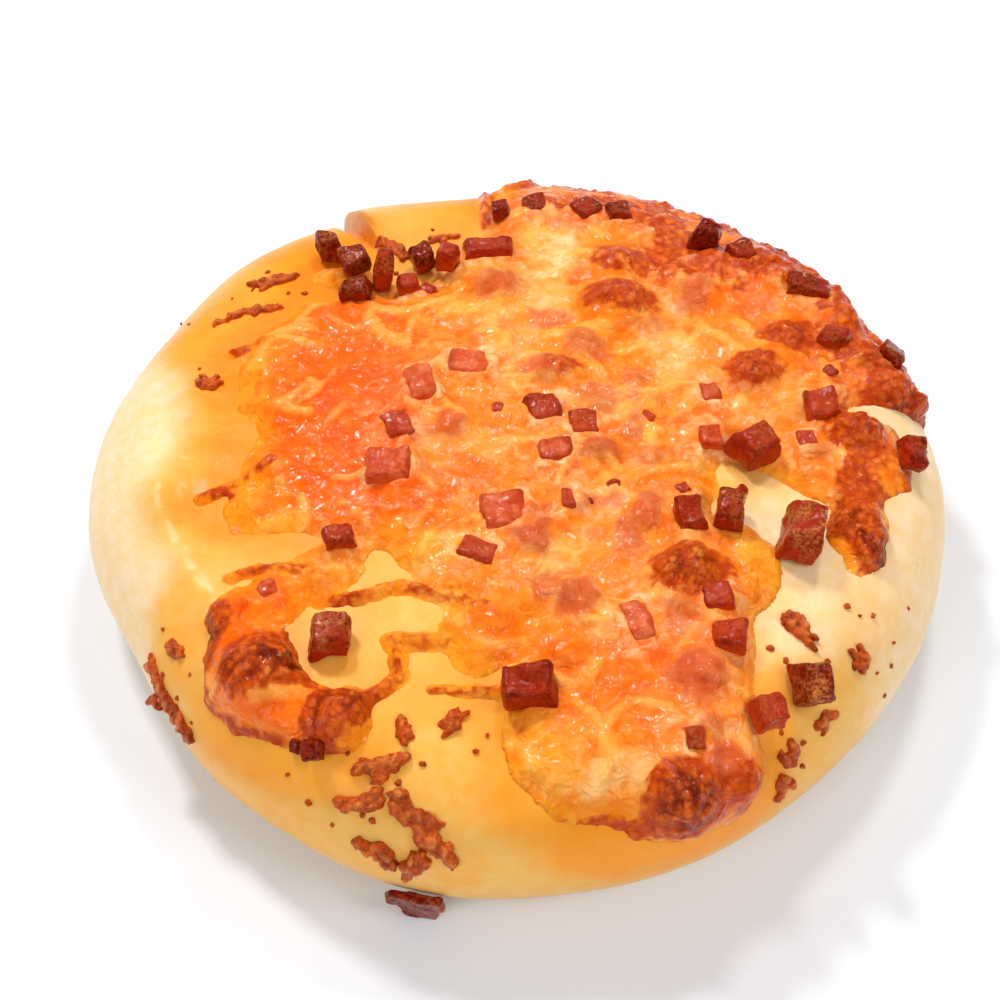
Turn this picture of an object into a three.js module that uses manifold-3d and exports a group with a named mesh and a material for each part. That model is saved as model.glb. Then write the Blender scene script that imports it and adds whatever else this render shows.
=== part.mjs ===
// A ham pizza: a small round bun baked under melted grated cheese and diced ham.
// Millimetres, +Z up. The origin is on the underside, at the middle of the bun.
//
// The bun's skin is described unrolled: (x, y) is a place on it as if the rounded shoulder were
// pressed flat, and lift is the height above it. Cheese and ham are laid out in these coordinates.
import * as THREE from "three";
import { mergeVertices } from "three/addons/utils/BufferGeometryUtils.js";
import Module from "manifold-3d";

const wasm = await Module();
wasm.setup();

// The bun
const BUN_RADIUS = 59.4; // rim, seen from above
const BUN_HEIGHT = 24; // underside to the edge of the flat top
const CROWN = 1.6; // extra rise in the middle of the top
const SHOULDER = 12; // radius of the rounded edge, and height of the rim
const FOOT_INSET = 9; // the wall curves in this far below the rim
const BUN_COLUMNS = 72;
const TOP_RINGS = 8;
const SHOULDER_RINGS = 6;
const WALL_RINGS = 5;
const UNEVEN = { height: 0.35, size: 30, seed: 2 }; // the top's low swells

// Where the hand-shaped rim stands out or falls in: degrees, rise and spread in degrees.
const RIM_SWELLS = [
  { at: 3, rise: 0.7, spread: 16 },
  { at: 90, rise: -0.5, spread: 30 },
  { at: 135, rise: 1.1, spread: 13 },
  { at: 178, rise: 1.0, spread: 14 },
  { at: 209, rise: -2.4, spread: 15 },
  { at: 235, rise: -0.6, spread: 12 },
  { at: 262, rise: 0.9, spread: 20 },
  { at: 316, rise: -0.9, spread: 14 },
];

// The split at the back left, where a raised lip of dough ends in a sharp step: degrees, how far
// the lip rises and the split cuts in, and the distances over which both grow.
const SPLIT = { lipFrom: 98, step: 116.4, floor: 117.4, end: 120.2, lip: 1.5, depth: 2.4, from: 42, full: 51 };

// The cheese
const GAP = 0.3; // clearance between touching pieces
const CHEESE = 1.7; // usual thickness
const CHEESE_EDGE = 0.7; // thickness at its edge
const EDGE_RUN = 5; // it thickens over this distance from the edge
const POCKET_FLOOR = 0.5; // cheese left under a piece of ham
const LATTICE = 2.9; // triangle side of the cheese's surface
const RAGGED = { reach: 0.9, size: 7, seed: 5 }; // how the edge wanders
const LUMPY = { height: 0.4, size: 11, seed: 9 }; // the melted surface's swells
const RIM_COVER = { from: 8.5, to: 94.5, reach: 62.6 }; // degrees, and how far over the shoulder

// Pools of melted cheese: middle, half sizes and turn in degrees.
const POOLS = [
  { x: -21.5, y: 12, rx: 18, ry: 17.5, turn: 0 },
  { x: -12, y: 24, rx: 10.5, ry: 7, turn: 0 },
  { x: -26.5, y: 32.8, rx: 3.4, ry: 3.2, turn: 0 },
  { x: -20, y: -5, rx: 17.5, ry: 12.5, turn: 0 },
  { x: -34, y: -11.5, rx: 5.2, ry: 4.5, turn: 0 },
  { x: -3.4, y: 36.6, rx: 5.4, ry: 5.6, turn: 0 },
  { x: 3, y: -5, rx: 24, ry: 26, turn: 0 },
  { x: -4, y: -32, rx: 6.5, ry: 6.5, turn: 0 },
  { x: 25, y: -21.5, rx: 9, ry: 9.5, turn: 15 },
  { x: 8.5, y: -44.5, rx: 10.5, ry: 14, turn: 0 },
  { x: 17, y: -38, rx: 13, ry: 22, turn: 0 },
  { x: 22, y: -50, rx: 9.5, ry: 11, turn: 0 },
  { x: 20, y: 25, rx: 32, ry: 29, turn: 0 },
  { x: 34, y: -1.5, rx: 4.5, ry: 4.6, turn: 0 },
  { x: 44.5, y: -2, rx: 10.5, ry: 8.6, turn: 0 },
  { x: 45, y: -14, rx: 4.4, ry: 8, turn: 0 },
  { x: -24, y: -20, rx: 4.5, ry: 3.5, turn: 0 },
  { x: -25.5, y: -24.5, rx: 3.6, ry: 3.8, turn: 0 },
  { x: -31.5, y: -26.5, rx: 4.8, ry: 5.5, turn: 0 },
  { x: -36, y: -28.5, rx: 4.4, ry: 4.4, turn: 0 },
  { x: -33.5, y: -37, rx: 7, ry: 9.6, turn: 12 },
  { x: -28, y: -42.5, rx: 5.5, ry: 5, turn: 0 },
  { x: -22.5, y: -44, rx: 5, ry: 5.2, turn: 0 },
];

// Shreds that melted into the edge of the sheet: a bent line, its width and its rise.
const SHREDS = [
  { path: [[-40.2, 17.8], [-35, 19.8]], wide: 2.6, rise: 0.6 },
  { path: [[-42.2, -9.2], [-37, -6.5], [-33, -4.5]], wide: 2.4, rise: 1.0 },
  { path: [[-37.2, -22.8], [-33.2, -21.4], [-28.5, -21.8], [-25, -23.5]], wide: 2.8, rise: 1.1 },
  { path: [[-23.4, -27], [-19.8, -26], [-14.8, -24.5], [-10.2, -26.2], [-5.7, -27.9], [-3, -30.6]], wide: 3, rise: 1.2 },
  { path: [[-16, -33], [-9.5, -33.4]], wide: 3.6, rise: 1.0 },
  { path: [[-15.4, -34.6], [-14.6, -38.4], [-19.6, -42.4]], wide: 3, rise: 1.1 },
  { path: [[-10.8, -40.3], [-2, -40.6]], wide: 2.2, rise: 0.6 },
  { path: [[-4.7, 55.5], [-4.4, 44]], wide: 2.2, rise: 0.7 },
];

// Places inside the sheet where the bread shows.
const BARE = [
  { x: -22.6, y: -33.4, rx: 4.9, ry: 5.8, turn: 0 },
  { x: -12.6, y: -29.2, rx: 2.6, ry: 2, turn: 0 },
];

// Lumps in the cheese, most of them ham that it covers: middle, radius and rise.
const LUMPS = [
  { x: -3, y: 28.5, r: 4.2, rise: 1.7 },
  { x: 14.8, y: 24.5, r: 5.6, rise: 3.0 },
  { x: 14, y: 33.5, r: 5, rise: 2.3 },
  { x: 26, y: 28.5, r: 4, rise: 1.6 },
  { x: 23, y: 31.5, r: 2.8, rise: 1.4 },
  { x: 29.5, y: 34.5, r: 3.4, rise: 1.5 },
  { x: 32.6, y: 11, r: 3.6, rise: 2.7 },
  { x: 36.3, y: 15.5, r: 3.2, rise: 1.6 },
  { x: 39, y: 19.5, r: 3.4, rise: 1.9 },
  { x: 26.6, y: 11, r: 2.6, rise: 1.6 },
  { x: 6, y: 10.5, r: 4.2, rise: 2.0 },
  { x: 9.6, y: 16.5, r: 3.6, rise: 1.6 },
  { x: 46.3, y: 1.6, r: 3.4, rise: 2.5 },
  { x: 48.6, y: 16.6, r: 2.8, rise: 1.9 },
  { x: 52.3, y: 10.8, r: 3.6, rise: 2.3 },
  { x: 56.2, y: 9.6, r: 2.6, rise: 1.7 },
  { x: 46.6, y: 23.6, r: 3, rise: 1.8 },
  { x: 46.4, y: 28.4, r: 2.6, rise: 1.6 },
  { x: 37.6, y: 31.5, r: 2.8, rise: 1.5 },
  { x: 22, y: -24.2, r: 5.2, rise: 3.0 },
  { x: 19.6, y: -53.2, r: 5.2, rise: 3.3 },
  { x: 27.4, y: -50.4, r: 3.6, rise: 1.7 },
  { x: 22.8, y: -38.8, r: 3.6, rise: 1.4 },
  { x: 6.6, y: -28.4, r: 3.8, rise: 1.7 },
  { x: 6.2, y: -35.2, r: 3, rise: 1.3 },
  { x: 17, y: -14.6, r: 3.4, rise: 1.6 },
  { x: 1.6, y: -17.6, r: 3, rise: 1.3 },
  { x: 11, y: -4, r: 2.8, rise: 1.2 },
  { x: -8.3, y: 1.2, r: 3, rise: 1.2 },
  { x: 46, y: -13, r: 3.2, rise: 2.0 },
  { x: 46.8, y: -17.4, r: 3, rise: 2.2 },
  { x: 42.6, y: -14.6, r: 2.2, rise: 1.3 },
  { x: -32.2, y: -37.8, r: 5.2, rise: 3.0 },
  { x: -37, y: -29.2, r: 3.4, rise: 1.6 },
  { x: -21.8, y: -44.2, r: 4, rise: 2.4 },
  { x: 34, y: -41.6, r: 2.6, rise: 1.0 },
];

// Browned shreds and crumbs of cheese baked onto the bare bread: a bent line, width and rise.
const BAKED_ON = [
  { path: [[-43.6, 23.8], [-40.6, 25.6], [-34.2, 27]], wide: 1.6, rise: 1.1 },
  { path: [[-38.8, 31.2], [-35.5, 32.4], [-32.8, 33.6]], wide: 2.2, rise: 1.2 },
  { path: [[-44.6, 12.7], [-42.8, 11.7], [-41.8, 12.5]], wide: 2.2, rise: 1.3 },
  { path: [[-20.2, 41.2], [-17.6, 39.6], [-16.2, 37.4]], wide: 2.2, rise: 0.9 },
  { path: [[-13, 41.2], [-8.4, 42.4]], wide: 1.5, rise: 0.9 },
  { path: [[-45, -30.8], [-43.6, -33]], wide: 2.2, rise: 1.2 },
  { path: [[-9, -45.8], [-6.9, -43.7]], wide: 2.3, rise: 1.5 },
  { path: [[-14, -44.6], [-13.4, -47.6]], wide: 2.6, rise: 1.5 },
  { path: [[-19.8, -50.8], [-17, -51.2], [-14, -49.9]], wide: 2.6, rise: 1.5 },
  { path: [[-22.4, -54.4], [-19.6, -54.3], [-16.8, -54.2]], wide: 2.5, rise: 1.8 },
  { path: [[-15.4, -54.6], [-12.8, -57.4], [-10.4, -60], [-8, -62.6]], wide: 3.6, rise: 1.6 },
  { path: [[-20.4, -59.6], [-18, -61.4], [-16.6, -63.4]], wide: 2.4, rise: 1.6 },
  { path: [[-12.2, -61.8], [-14, -63.4], [-15.6, -65]], wide: 2.8, rise: 1.6 },
  { path: [[34.4, -28.6], [35.8, -30.8], [37.4, -32.6]], wide: 2.6, rise: 1.4 },
  { path: [[43.4, -32.6], [44.6, -35]], wide: 2.5, rise: 1.3 },
  { path: [[40.3, -41.3], [38.6, -43]], wide: 2.4, rise: 1.2 },
  { path: [[34.2, -46], [34.8, -48.4]], wide: 2.7, rise: 1.3 },
  { path: [[34.8, -50], [36, -52.4]], wide: 3.2, rise: 1.5 },
  { path: [[-50.2, -31.8], [-49, -36.6], [-47, -40.6], [-45, -44]], wide: 2.8, rise: 1.4 },
  { path: [[-51.4, -36.4], [-49.6, -38.4]], wide: 2.2, rise: 2.6 },
];
const BAKED_SINK = 0.5; // they reach this far into the crust
const BAKED_SIDES = 6;
const BAKED_STEP = 3; // distance between sections along a shred

// Diced ham: middle, width, depth, height of its top above the skin, turn and lean in degrees.
const HAM = [
  { x: -27.5, y: 37.7, wide: 3.6, deep: 3.4, top: 4.2, turn: 10, lean: 0 },
  { x: -23.7, y: 33.7, wide: 4.1, deep: 4.2, top: 5.0, turn: 24, lean: 6 },
  { x: -19.1, y: 30.9, wide: 2.8, deep: 2.7, top: 6.5, turn: 2, lean: 0 },
  { x: -23.1, y: 28.2, wide: 4.2, deep: 3.2, top: 3.7, turn: 4, lean: 0 },
  { x: -15.5, y: 29.0, wide: 3.0, deep: 3.1, top: 3.4, turn: 12, lean: 0 },
  { x: -13.8, y: 35.2, wide: 3.2, deep: 3.4, top: 3.8, turn: 26, lean: 5 },
  { x: -10.0, y: 33.4, wide: 3.0, deep: 3.4, top: 5.2, turn: -20, lean: -9 },
  { x: -4.0, y: 36.5, wide: 7.0, deep: 3.6, top: 3.7, turn: 0, lean: 0 },
  { x: -2.2, y: 45.6, wide: 3.0, deep: 3.4, top: 3.6, turn: 4, lean: 0 },
  { x: 3.2, y: 47.4, wide: 4.2, deep: 4.0, top: 2.9, turn: 20, lean: 0 },
  { x: 10.4, y: 46.4, wide: 4.0, deep: 3.8, top: 3.1, turn: 35, lean: 0 },
  { x: 15.6, y: 45.6, wide: 4.0, deep: 3.8, top: 3.4, turn: 8, lean: 0 },
  { x: 28.3, y: 38.8, wide: 4.1, deep: 3.3, top: 5.7, turn: -24, lean: 0 },
  { x: 33.3, y: 36.4, wide: 4.2, deep: 3.8, top: 3.5, turn: 30, lean: 0 },
  { x: 42.0, y: 29.2, wide: 6.4, deep: 4.4, top: 4.2, turn: -12, lean: 0 },
  { x: 44.8, y: 18.5, wide: 4.4, deep: 3.0, top: 4.0, turn: -24, lean: 0 },
  { x: 52.4, y: 17.2, wide: 4.0, deep: 4.2, top: 4.2, turn: -15, lean: 0 },
  { x: 53.1, y: -1.6, wide: 3.1, deep: 5.2, top: 3.9, turn: 6, lean: 0 },
  { x: 42.0, y: 5.6, wide: 5.2, deep: 4.8, top: 3.7, turn: 14, lean: 5 },
  { x: 39.2, y: -0.7, wide: 3.0, deep: 3.6, top: 3.2, turn: 8, lean: 0 },
  { x: 32.1, y: -2.6, wide: 5.3, deep: 5.0, top: 5.0, turn: 33, lean: 0 },
  { x: 26.6, y: 6.9, wide: 2.9, deep: 4.0, top: 3.2, turn: 10, lean: 0 },
  { x: 26.2, y: -0.8, wide: 3.4, deep: 4.2, top: 3.0, turn: 4, lean: 0 },
  { x: -13.2, y: 7.9, wide: 4.4, deep: 6.2, top: 4.2, turn: 14, lean: -8 },
  { x: -6.4, y: 12.5, wide: 6.0, deep: 4.8, top: 3.3, turn: -8, lean: 0 },
  { x: -16.2, y: 1.0, wide: 4.1, deep: 4.8, top: 3.6, turn: 20, lean: 5 },
  { x: 3.7, y: 3.6, wide: 4.9, deep: 4.8, top: 3.4, turn: 16, lean: 0 },
  { x: 9.1, y: 1.3, wide: 4.1, deep: 4.3, top: 3.0, turn: 2, lean: 0 },
  { x: 5.1, y: -3.8, wide: 4.7, deep: 3.9, top: 3.1, turn: 10, lean: 0 },
  { x: -1.7, y: -14.2, wide: 6.2, deep: 5.8, top: 3.5, turn: 10, lean: 0 },
  { x: 6.6, y: -12.0, wide: 2.2, deep: 3.4, top: 3.0, turn: 0, lean: 0 },
  { x: 22.5, y: -14.8, wide: 3.9, deep: 5.2, top: 4.2, turn: 8, lean: 4 },
  { x: 27.8, y: -14.2, wide: 3.9, deep: 5.7, top: 4.8, turn: -8, lean: 0 },
  { x: 37.0, y: -17.6, wide: 5.0, deep: 6.8, top: 6.0, turn: -14, lean: 0 },
  { x: 25.3, y: -27.6, wide: 4.2, deep: 4.2, top: 3.6, turn: 8, lean: 0 },
  { x: 26.4, y: -33.5, wide: 4.5, deep: 4.6, top: 4.2, turn: -3, lean: 0 },
  { x: 14.8, y: -31.2, wide: 3.5, deep: 6.2, top: 3.0, turn: 18, lean: 0 },
  { x: 1.2, y: -41.4, wide: 6.6, deep: 5.4, top: 4.7, turn: 3, lean: 0 },
  { x: 35.8, y: -38.7, wide: 4.2, deep: 5.4, top: 4.6, turn: 12, lean: 0 },
  { x: 30.0, y: -43.2, wide: 4.1, deep: 4.1, top: 4.1, turn: 24, lean: 0 },
  { x: 20.9, y: -47.4, wide: 3.0, deep: 3.5, top: 3.7, turn: 10, lean: 0 },
  { x: -17.0, y: -6.8, wide: 6.1, deep: 6.0, top: 4.2, turn: 2, lean: 0 },
  { x: -23.0, y: -18.1, wide: 4.2, deep: 3.6, top: 3.5, turn: 12, lean: 0 },
  { x: -5.2, y: -20.4, wide: 5.6, deep: 3.6, top: 3.0, turn: -24, lean: 0 },
  { x: -23.5, y: -33.2, wide: 4.9, deep: 4.9, top: 4.4, turn: 3, lean: 0 },
  { x: -24.5, y: -48.2, wide: 2.7, deep: 2.8, top: 3.0, turn: 0, lean: 0 },
];
const HAM_ROUGH = 0.1; // how far a corner strays, as a share of the size
const HAM_SHOULDER = 0.7; // the sides lean in above this share of the height
const HAM_TAPER = 0.84; // top face against the base

// The strip of ham that slid off the front: it stands on the floor against the wall.
const FALLEN = { x: -12.9, y: -57.6, turn: -12.4, wide: 8, deep: 1.7, height: 7, splay: 1.6 };

const COLOURS = {
  bread: { color: 0xf0c877, roughness: 0.5, metalness: 0 },
  cheese: { color: 0xf58a1e, roughness: 0.35, metalness: 0 },
  ham: { color: 0xa8271a, roughness: 0.45, metalness: 0 },
};

const radians = THREE.MathUtils.degToRad;
const clamp = THREE.MathUtils.clamp;
const smooth = THREE.MathUtils.smoothstep;

// A smooth, repeatable wandering value between -1 and 1.
function wander(x, y, { size, seed }) {
  let sum = 0;
  for (let wave = 0; wave < 4; wave++) {
    const heading = seed + wave * 2.4;
    const along = x * Math.cos(heading) + y * Math.sin(heading);
    sum += Math.sin((along * 2 * Math.PI) / (size * (0.8 + 0.2 * wave)) + seed * (wave + 1) * 1.7);
  }
  return sum / 4;
}

// A repeatable stream of numbers between 0 and 1.
function draws(seed) {
  let state = seed * 7919 + 17;
  return () => {
    state = (state * 1103515245 + 12345) % 2147483648;
    return state / 2147483648;
  };
}

function turnBetween(angle, middle) {
  return THREE.MathUtils.euclideanModulo(angle - middle + 180, 360) - 180;
}

function rimRadius(angle) {
  let radius = BUN_RADIUS;
  for (const swell of RIM_SWELLS) {
    radius += swell.rise * Math.exp(-((turnBetween(angle, swell.at) / swell.spread) ** 2));
  }
  return radius;
}

// How far the split cuts into the dough at this angle; negative on the raised lip beside it.
function splitDepth(angle) {
  if (angle <= SPLIT.step) return -SPLIT.lip * smooth(angle, SPLIT.lipFrom, SPLIT.step);
  if (angle >= SPLIT.end) return 0;
  if (angle > SPLIT.floor) return SPLIT.depth * (SPLIT.end - angle) / (SPLIT.end - SPLIT.floor);
  return THREE.MathUtils.mapLinear(angle, SPLIT.step, SPLIT.floor, -SPLIT.lip, SPLIT.depth);
}

// A point above the unrolled skin, as far as the rim.
function onSkin(x, y, lift) {
  const distance = Math.hypot(x, y);
  const heading = Math.atan2(y, x);
  const angle = THREE.MathUtils.euclideanModulo(THREE.MathUtils.radToDeg(heading), 360);
  const flat = rimRadius(angle) - SHOULDER;
  const bend = clamp((distance - flat) / SHOULDER, 0, Math.PI / 2);
  const split = splitDepth(angle) * smooth(distance, SPLIT.from, SPLIT.full);
  const rise = lift + UNEVEN.height * wander(x, y, UNEVEN) - split;
  const radius = Math.min(distance, flat) + (SHOULDER + rise) * Math.sin(bend);
  const crown = CROWN * Math.max(0, 1 - (distance / flat) ** 2);
  const height = BUN_HEIGHT - SHOULDER + crown + (SHOULDER + rise) * Math.cos(bend);
  return new THREE.Vector3(radius * Math.cos(heading), radius * Math.sin(heading), height);
}

// A point on the wall below the rim: share 0 is the rim and share 1 the foot.
function onWall(angle, share) {
  const rim = onSkin(...atRim(angle), 0);
  const mended = splitDepth(angle) * (1 - (1 - share) ** 2);
  const tuck = FOOT_INSET * (1 - Math.cos(share * Math.PI / 2)) - mended;
  const inward = 1 - tuck / Math.hypot(rim.x, rim.y);
  const height = rim.z * (1 - Math.sin(share * Math.PI / 2));
  return new THREE.Vector3(rim.x * inward, rim.y * inward, height);
}

function atRim(angle) {
  const distance = rimRadius(angle) - SHOULDER + SHOULDER * Math.PI / 2;
  return [distance * Math.cos(radians(angle)), distance * Math.sin(radians(angle))];
}

// The skin's own axes at a place: along x, along y, and out of the skin.
function skinFrame(x, y, lift) {
  const step = 0.5;
  const origin = onSkin(x, y, lift);
  const along = onSkin(x + step, y, lift).sub(origin).normalize();
  const out = along.clone().cross(onSkin(x, y + step, lift).sub(origin)).normalize();
  const across = out.clone().cross(along);
  return new THREE.Matrix4().makeBasis(along, across, out).setPosition(origin);
}

// The geometry as one welded mesh without flat triangles.
function weld(geometry) {
  geometry.deleteAttribute("normal");
  geometry.deleteAttribute("uv");
  const welded = mergeVertices(geometry, 1e-4);
  const corners = welded.index.array;
  const kept = [];
  for (let i = 0; i < corners.length; i += 3) {
    const [a, b, c] = [corners[i], corners[i + 1], corners[i + 2]];
    if (a !== b && b !== c && c !== a) kept.push(a, b, c);
  }
  welded.setIndex(kept);
  return welded;
}

function toSolid(geometry) {
  return new wasm.Manifold(new wasm.Mesh({
    numProp: 3,
    vertProperties: new Float32Array(geometry.attributes.position.array),
    triVerts: new Uint32Array(geometry.index.array),
  }));
}

function toGeometry(solid) {
  const mesh = solid.getMesh();
  const geometry = new THREE.BufferGeometry();
  geometry.setAttribute("position", new THREE.BufferAttribute(mesh.vertProperties, mesh.numProp));
  geometry.setIndex(new THREE.BufferAttribute(mesh.triVerts, 1));
  return geometry;
}

function breadAngles() {
  const angles = [];
  for (let column = 0; column < BUN_COLUMNS; column++) {
    const angle = column * 360 / BUN_COLUMNS;
    if (angle < SPLIT.step - 1 || angle > SPLIT.end + 1) angles.push(angle);
  }
  angles.push(SPLIT.step, SPLIT.floor, (SPLIT.floor + SPLIT.end) / 2, SPLIT.end);
  return angles.sort((a, b) => a - b);
}

// The bun's outline from the middle of the top, over the shoulder and down to the foot.
function bunPoint(angle, ring) {
  const flat = rimRadius(angle) - SHOULDER;
  if (ring > TOP_RINGS + SHOULDER_RINGS) {
    return onWall(angle, (ring - TOP_RINGS - SHOULDER_RINGS) / WALL_RINGS);
  }
  const distance = ring <= TOP_RINGS
    ? flat * ring / TOP_RINGS
    : flat + SHOULDER * (ring - TOP_RINGS) / SHOULDER_RINGS * Math.PI / 2;
  return onSkin(distance * Math.cos(radians(angle)), distance * Math.sin(radians(angle)), 0);
}

function bunGeometry() {
  const angles = breadAngles();
  const rings = TOP_RINGS + SHOULDER_RINGS + WALL_RINGS;
  const profile = [];
  for (let ring = 0; ring <= rings + 1; ring++) profile.push(new THREE.Vector2(ring <= rings ? ring : 0, -ring));
  const geometry = new THREE.LatheGeometry(profile, angles.length);
  const position = geometry.attributes.position;
  for (let column = 0; column <= angles.length; column++) {
    const angle = angles[(angles.length - column) % angles.length];
    for (let ring = 0; ring <= rings + 1; ring++) {
      const point = ring <= rings ? bunPoint(angle, ring) : new THREE.Vector3(0, 0, 0);
      position.setXYZ(column * (rings + 2) + ring, point.x, point.y, point.z);
    }
  }
  return weld(geometry);
}

// A point and heading part of the way along a bent line.
function alongPath(path, share) {
  const lengths = path.slice(1).map((end, i) => Math.hypot(end[0] - path[i][0], end[1] - path[i][1]));
  let left = share * lengths.reduce((sum, length) => sum + length, 0);
  let leg = 0;
  while (leg < lengths.length - 1 && left > lengths[leg]) left -= lengths[leg++];
  const [start, end] = [path[leg], path[leg + 1]];
  const part = left / lengths[leg];
  const heading = Math.atan2(end[1] - start[1], end[0] - start[0]);
  return { x: start[0] + (end[0] - start[0]) * part, y: start[1] + (end[1] - start[1]) * part, heading };
}

function pathLength(path) {
  return path.slice(1).reduce((sum, end, i) => sum + Math.hypot(end[0] - path[i][0], end[1] - path[i][1]), 0);
}

// One browned shred: a round bar bent along its line, lying half sunk in the crust.
function bakedShred({ path, wide, rise }, seed) {
  const draw = draws(seed);
  const steps = Math.max(2, Math.round(pathLength(path) / BAKED_STEP));
  const bar = new THREE.CylinderGeometry(1, 1, 1, BAKED_SIDES, steps);
  const sections = Array.from({ length: steps + 1 }, (_, i) => {
    const end = i === 0 || i === steps ? 0.62 : 1;
    return { spread: end * (0.85 + 0.3 * draw()), height: end * (0.85 + 0.3 * draw()) };
  });
  const position = bar.attributes.position;
  for (let i = 0; i < position.count; i++) {
    const share = clamp(position.getY(i) + 0.5, 0, 1);
    const section = sections[Math.round(share * steps)];
    const { x, y, heading } = alongPath(path, share);
    const side = position.getX(i) * section.spread * wide / 2;
    const lift = (rise * section.height - BAKED_SINK) / 2
      + position.getZ(i) * (rise * section.height + BAKED_SINK) / 2;
    const point = onSkin(x + side * Math.sin(heading), y - side * Math.cos(heading), lift);
    position.setXYZ(i, point.x, point.y, point.z);
  }
  return weld(bar);
}

function breadGeometry() {
  let solid = toSolid(bunGeometry());
  BAKED_ON.forEach((shred, i) => {
    solid = solid.add(toSolid(bakedShred(shred, i + 1)));
  });
  return toGeometry(solid);
}

// Distance inside an ellipse, about in millimetres, and negative outside it.
function insideEllipse(x, y, { x: cx, y: cy, rx, ry, turn }) {
  const [cos, sin] = [Math.cos(radians(turn)), Math.sin(radians(turn))];
  const across = ((x - cx) * cos + (y - cy) * sin) / rx;
  const along = ((y - cy) * cos - (x - cx) * sin) / ry;
  return (1 - Math.hypot(across, along)) * Math.min(rx, ry);
}

function distanceToPath(x, y, path) {
  let nearest = Infinity;
  for (let i = 0; i + 1 < path.length; i++) {
    const [[ax, ay], [bx, by]] = [path[i], path[i + 1]];
    const [dx, dy] = [bx - ax, by - ay];
    const share = clamp(((x - ax) * dx + (y - ay) * dy) / (dx * dx + dy * dy), 0, 1);
    nearest = Math.min(nearest, Math.hypot(x - ax - share * dx, y - ay - share * dy));
  }
  return nearest;
}

// Rounded union of two distances.
function joinSmooth(a, b, round) {
  const mix = Math.max(round - Math.abs(a - b), 0) / round;
  return Math.max(a, b) + mix * mix * round / 4;
}

// The sheet over the back of the rim, between two headings.
function insideRimCover(x, y) {
  const [from, to] = [radians(RIM_COVER.from), radians(RIM_COVER.to)];
  return Math.min(
    RIM_COVER.reach - Math.hypot(x, y),
    x * Math.sin(to) - y * Math.cos(to),
    y * Math.cos(from) - x * Math.sin(from),
  );
}

// How far inside the cheese's edge a place on the skin is, about in millimetres.
function insideCheese(x, y) {
  let inside = insideRimCover(x, y);
  for (const pool of POOLS) inside = joinSmooth(inside, insideEllipse(x, y, pool), 2);
  inside += RAGGED.reach * wander(x, y, RAGGED);
  for (const shred of SHREDS) inside = joinSmooth(inside, shred.wide / 2 - distanceToPath(x, y, shred.path), 1);
  for (const bare of BARE) inside = Math.min(inside, -insideEllipse(x, y, bare));
  return inside;
}

function cheeseThickness(x, y, inside) {
  const body = smooth(inside, 0, EDGE_RUN);
  let thickness = CHEESE_EDGE + (CHEESE - CHEESE_EDGE) * body + LUMPY.height * wander(x, y, LUMPY) * body;
  let lump = 0;
  for (const { x: cx, y: cy, r, rise } of LUMPS) {
    const off = Math.hypot(x - cx, y - cy) / r;
    if (off < 1.4) lump = Math.max(lump, rise * Math.cos(off / 1.4 * Math.PI / 2) ** 2 * 1.15);
  }
  for (const { path, wide, rise } of SHREDS) {
    const off = distanceToPath(x, y, path) / wide;
    if (off < 1) lump = Math.max(lump, rise * (1 - off * off));
  }
  return Math.max(thickness + lump * smooth(inside, -0.1, 1.5), CHEESE_EDGE);
}

// A lattice point of the sheet, drawn onto the edge where it is close to it.
function latticePoint(x, y) {
  let inside = insideCheese(x, y);
  if (Math.abs(inside) > 0.35 * LATTICE) return { x, y, inside };
  const step = 0.05;
  for (let turn = 0; turn < 3; turn++) {
    const slopeX = (insideCheese(x + step, y) - insideCheese(x - step, y)) / (2 * step);
    const slopeY = (insideCheese(x, y + step) - insideCheese(x, y - step)) / (2 * step);
    const steep = Math.max(slopeX * slopeX + slopeY * slopeY, 0.15);
    x -= inside * slopeX / steep;
    y -= inside * slopeY / steep;
    inside = insideCheese(x, y);
  }
  return { x, y, inside: 0 };
}

// Where the edge crosses the line between a point inside it and a point outside it.
function edgeCrossing(a, b) {
  let [near, far] = [0, 1];
  for (let turn = 0; turn < 12; turn++) {
    const middle = (near + far) / 2;
    if (insideCheese(a.x + (b.x - a.x) * middle, a.y + (b.y - a.y) * middle) > 0) near = middle;
    else far = middle;
  }
  return { x: a.x + (b.x - a.x) * near, y: a.y + (b.y - a.y) * near, inside: 0 };
}

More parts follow.
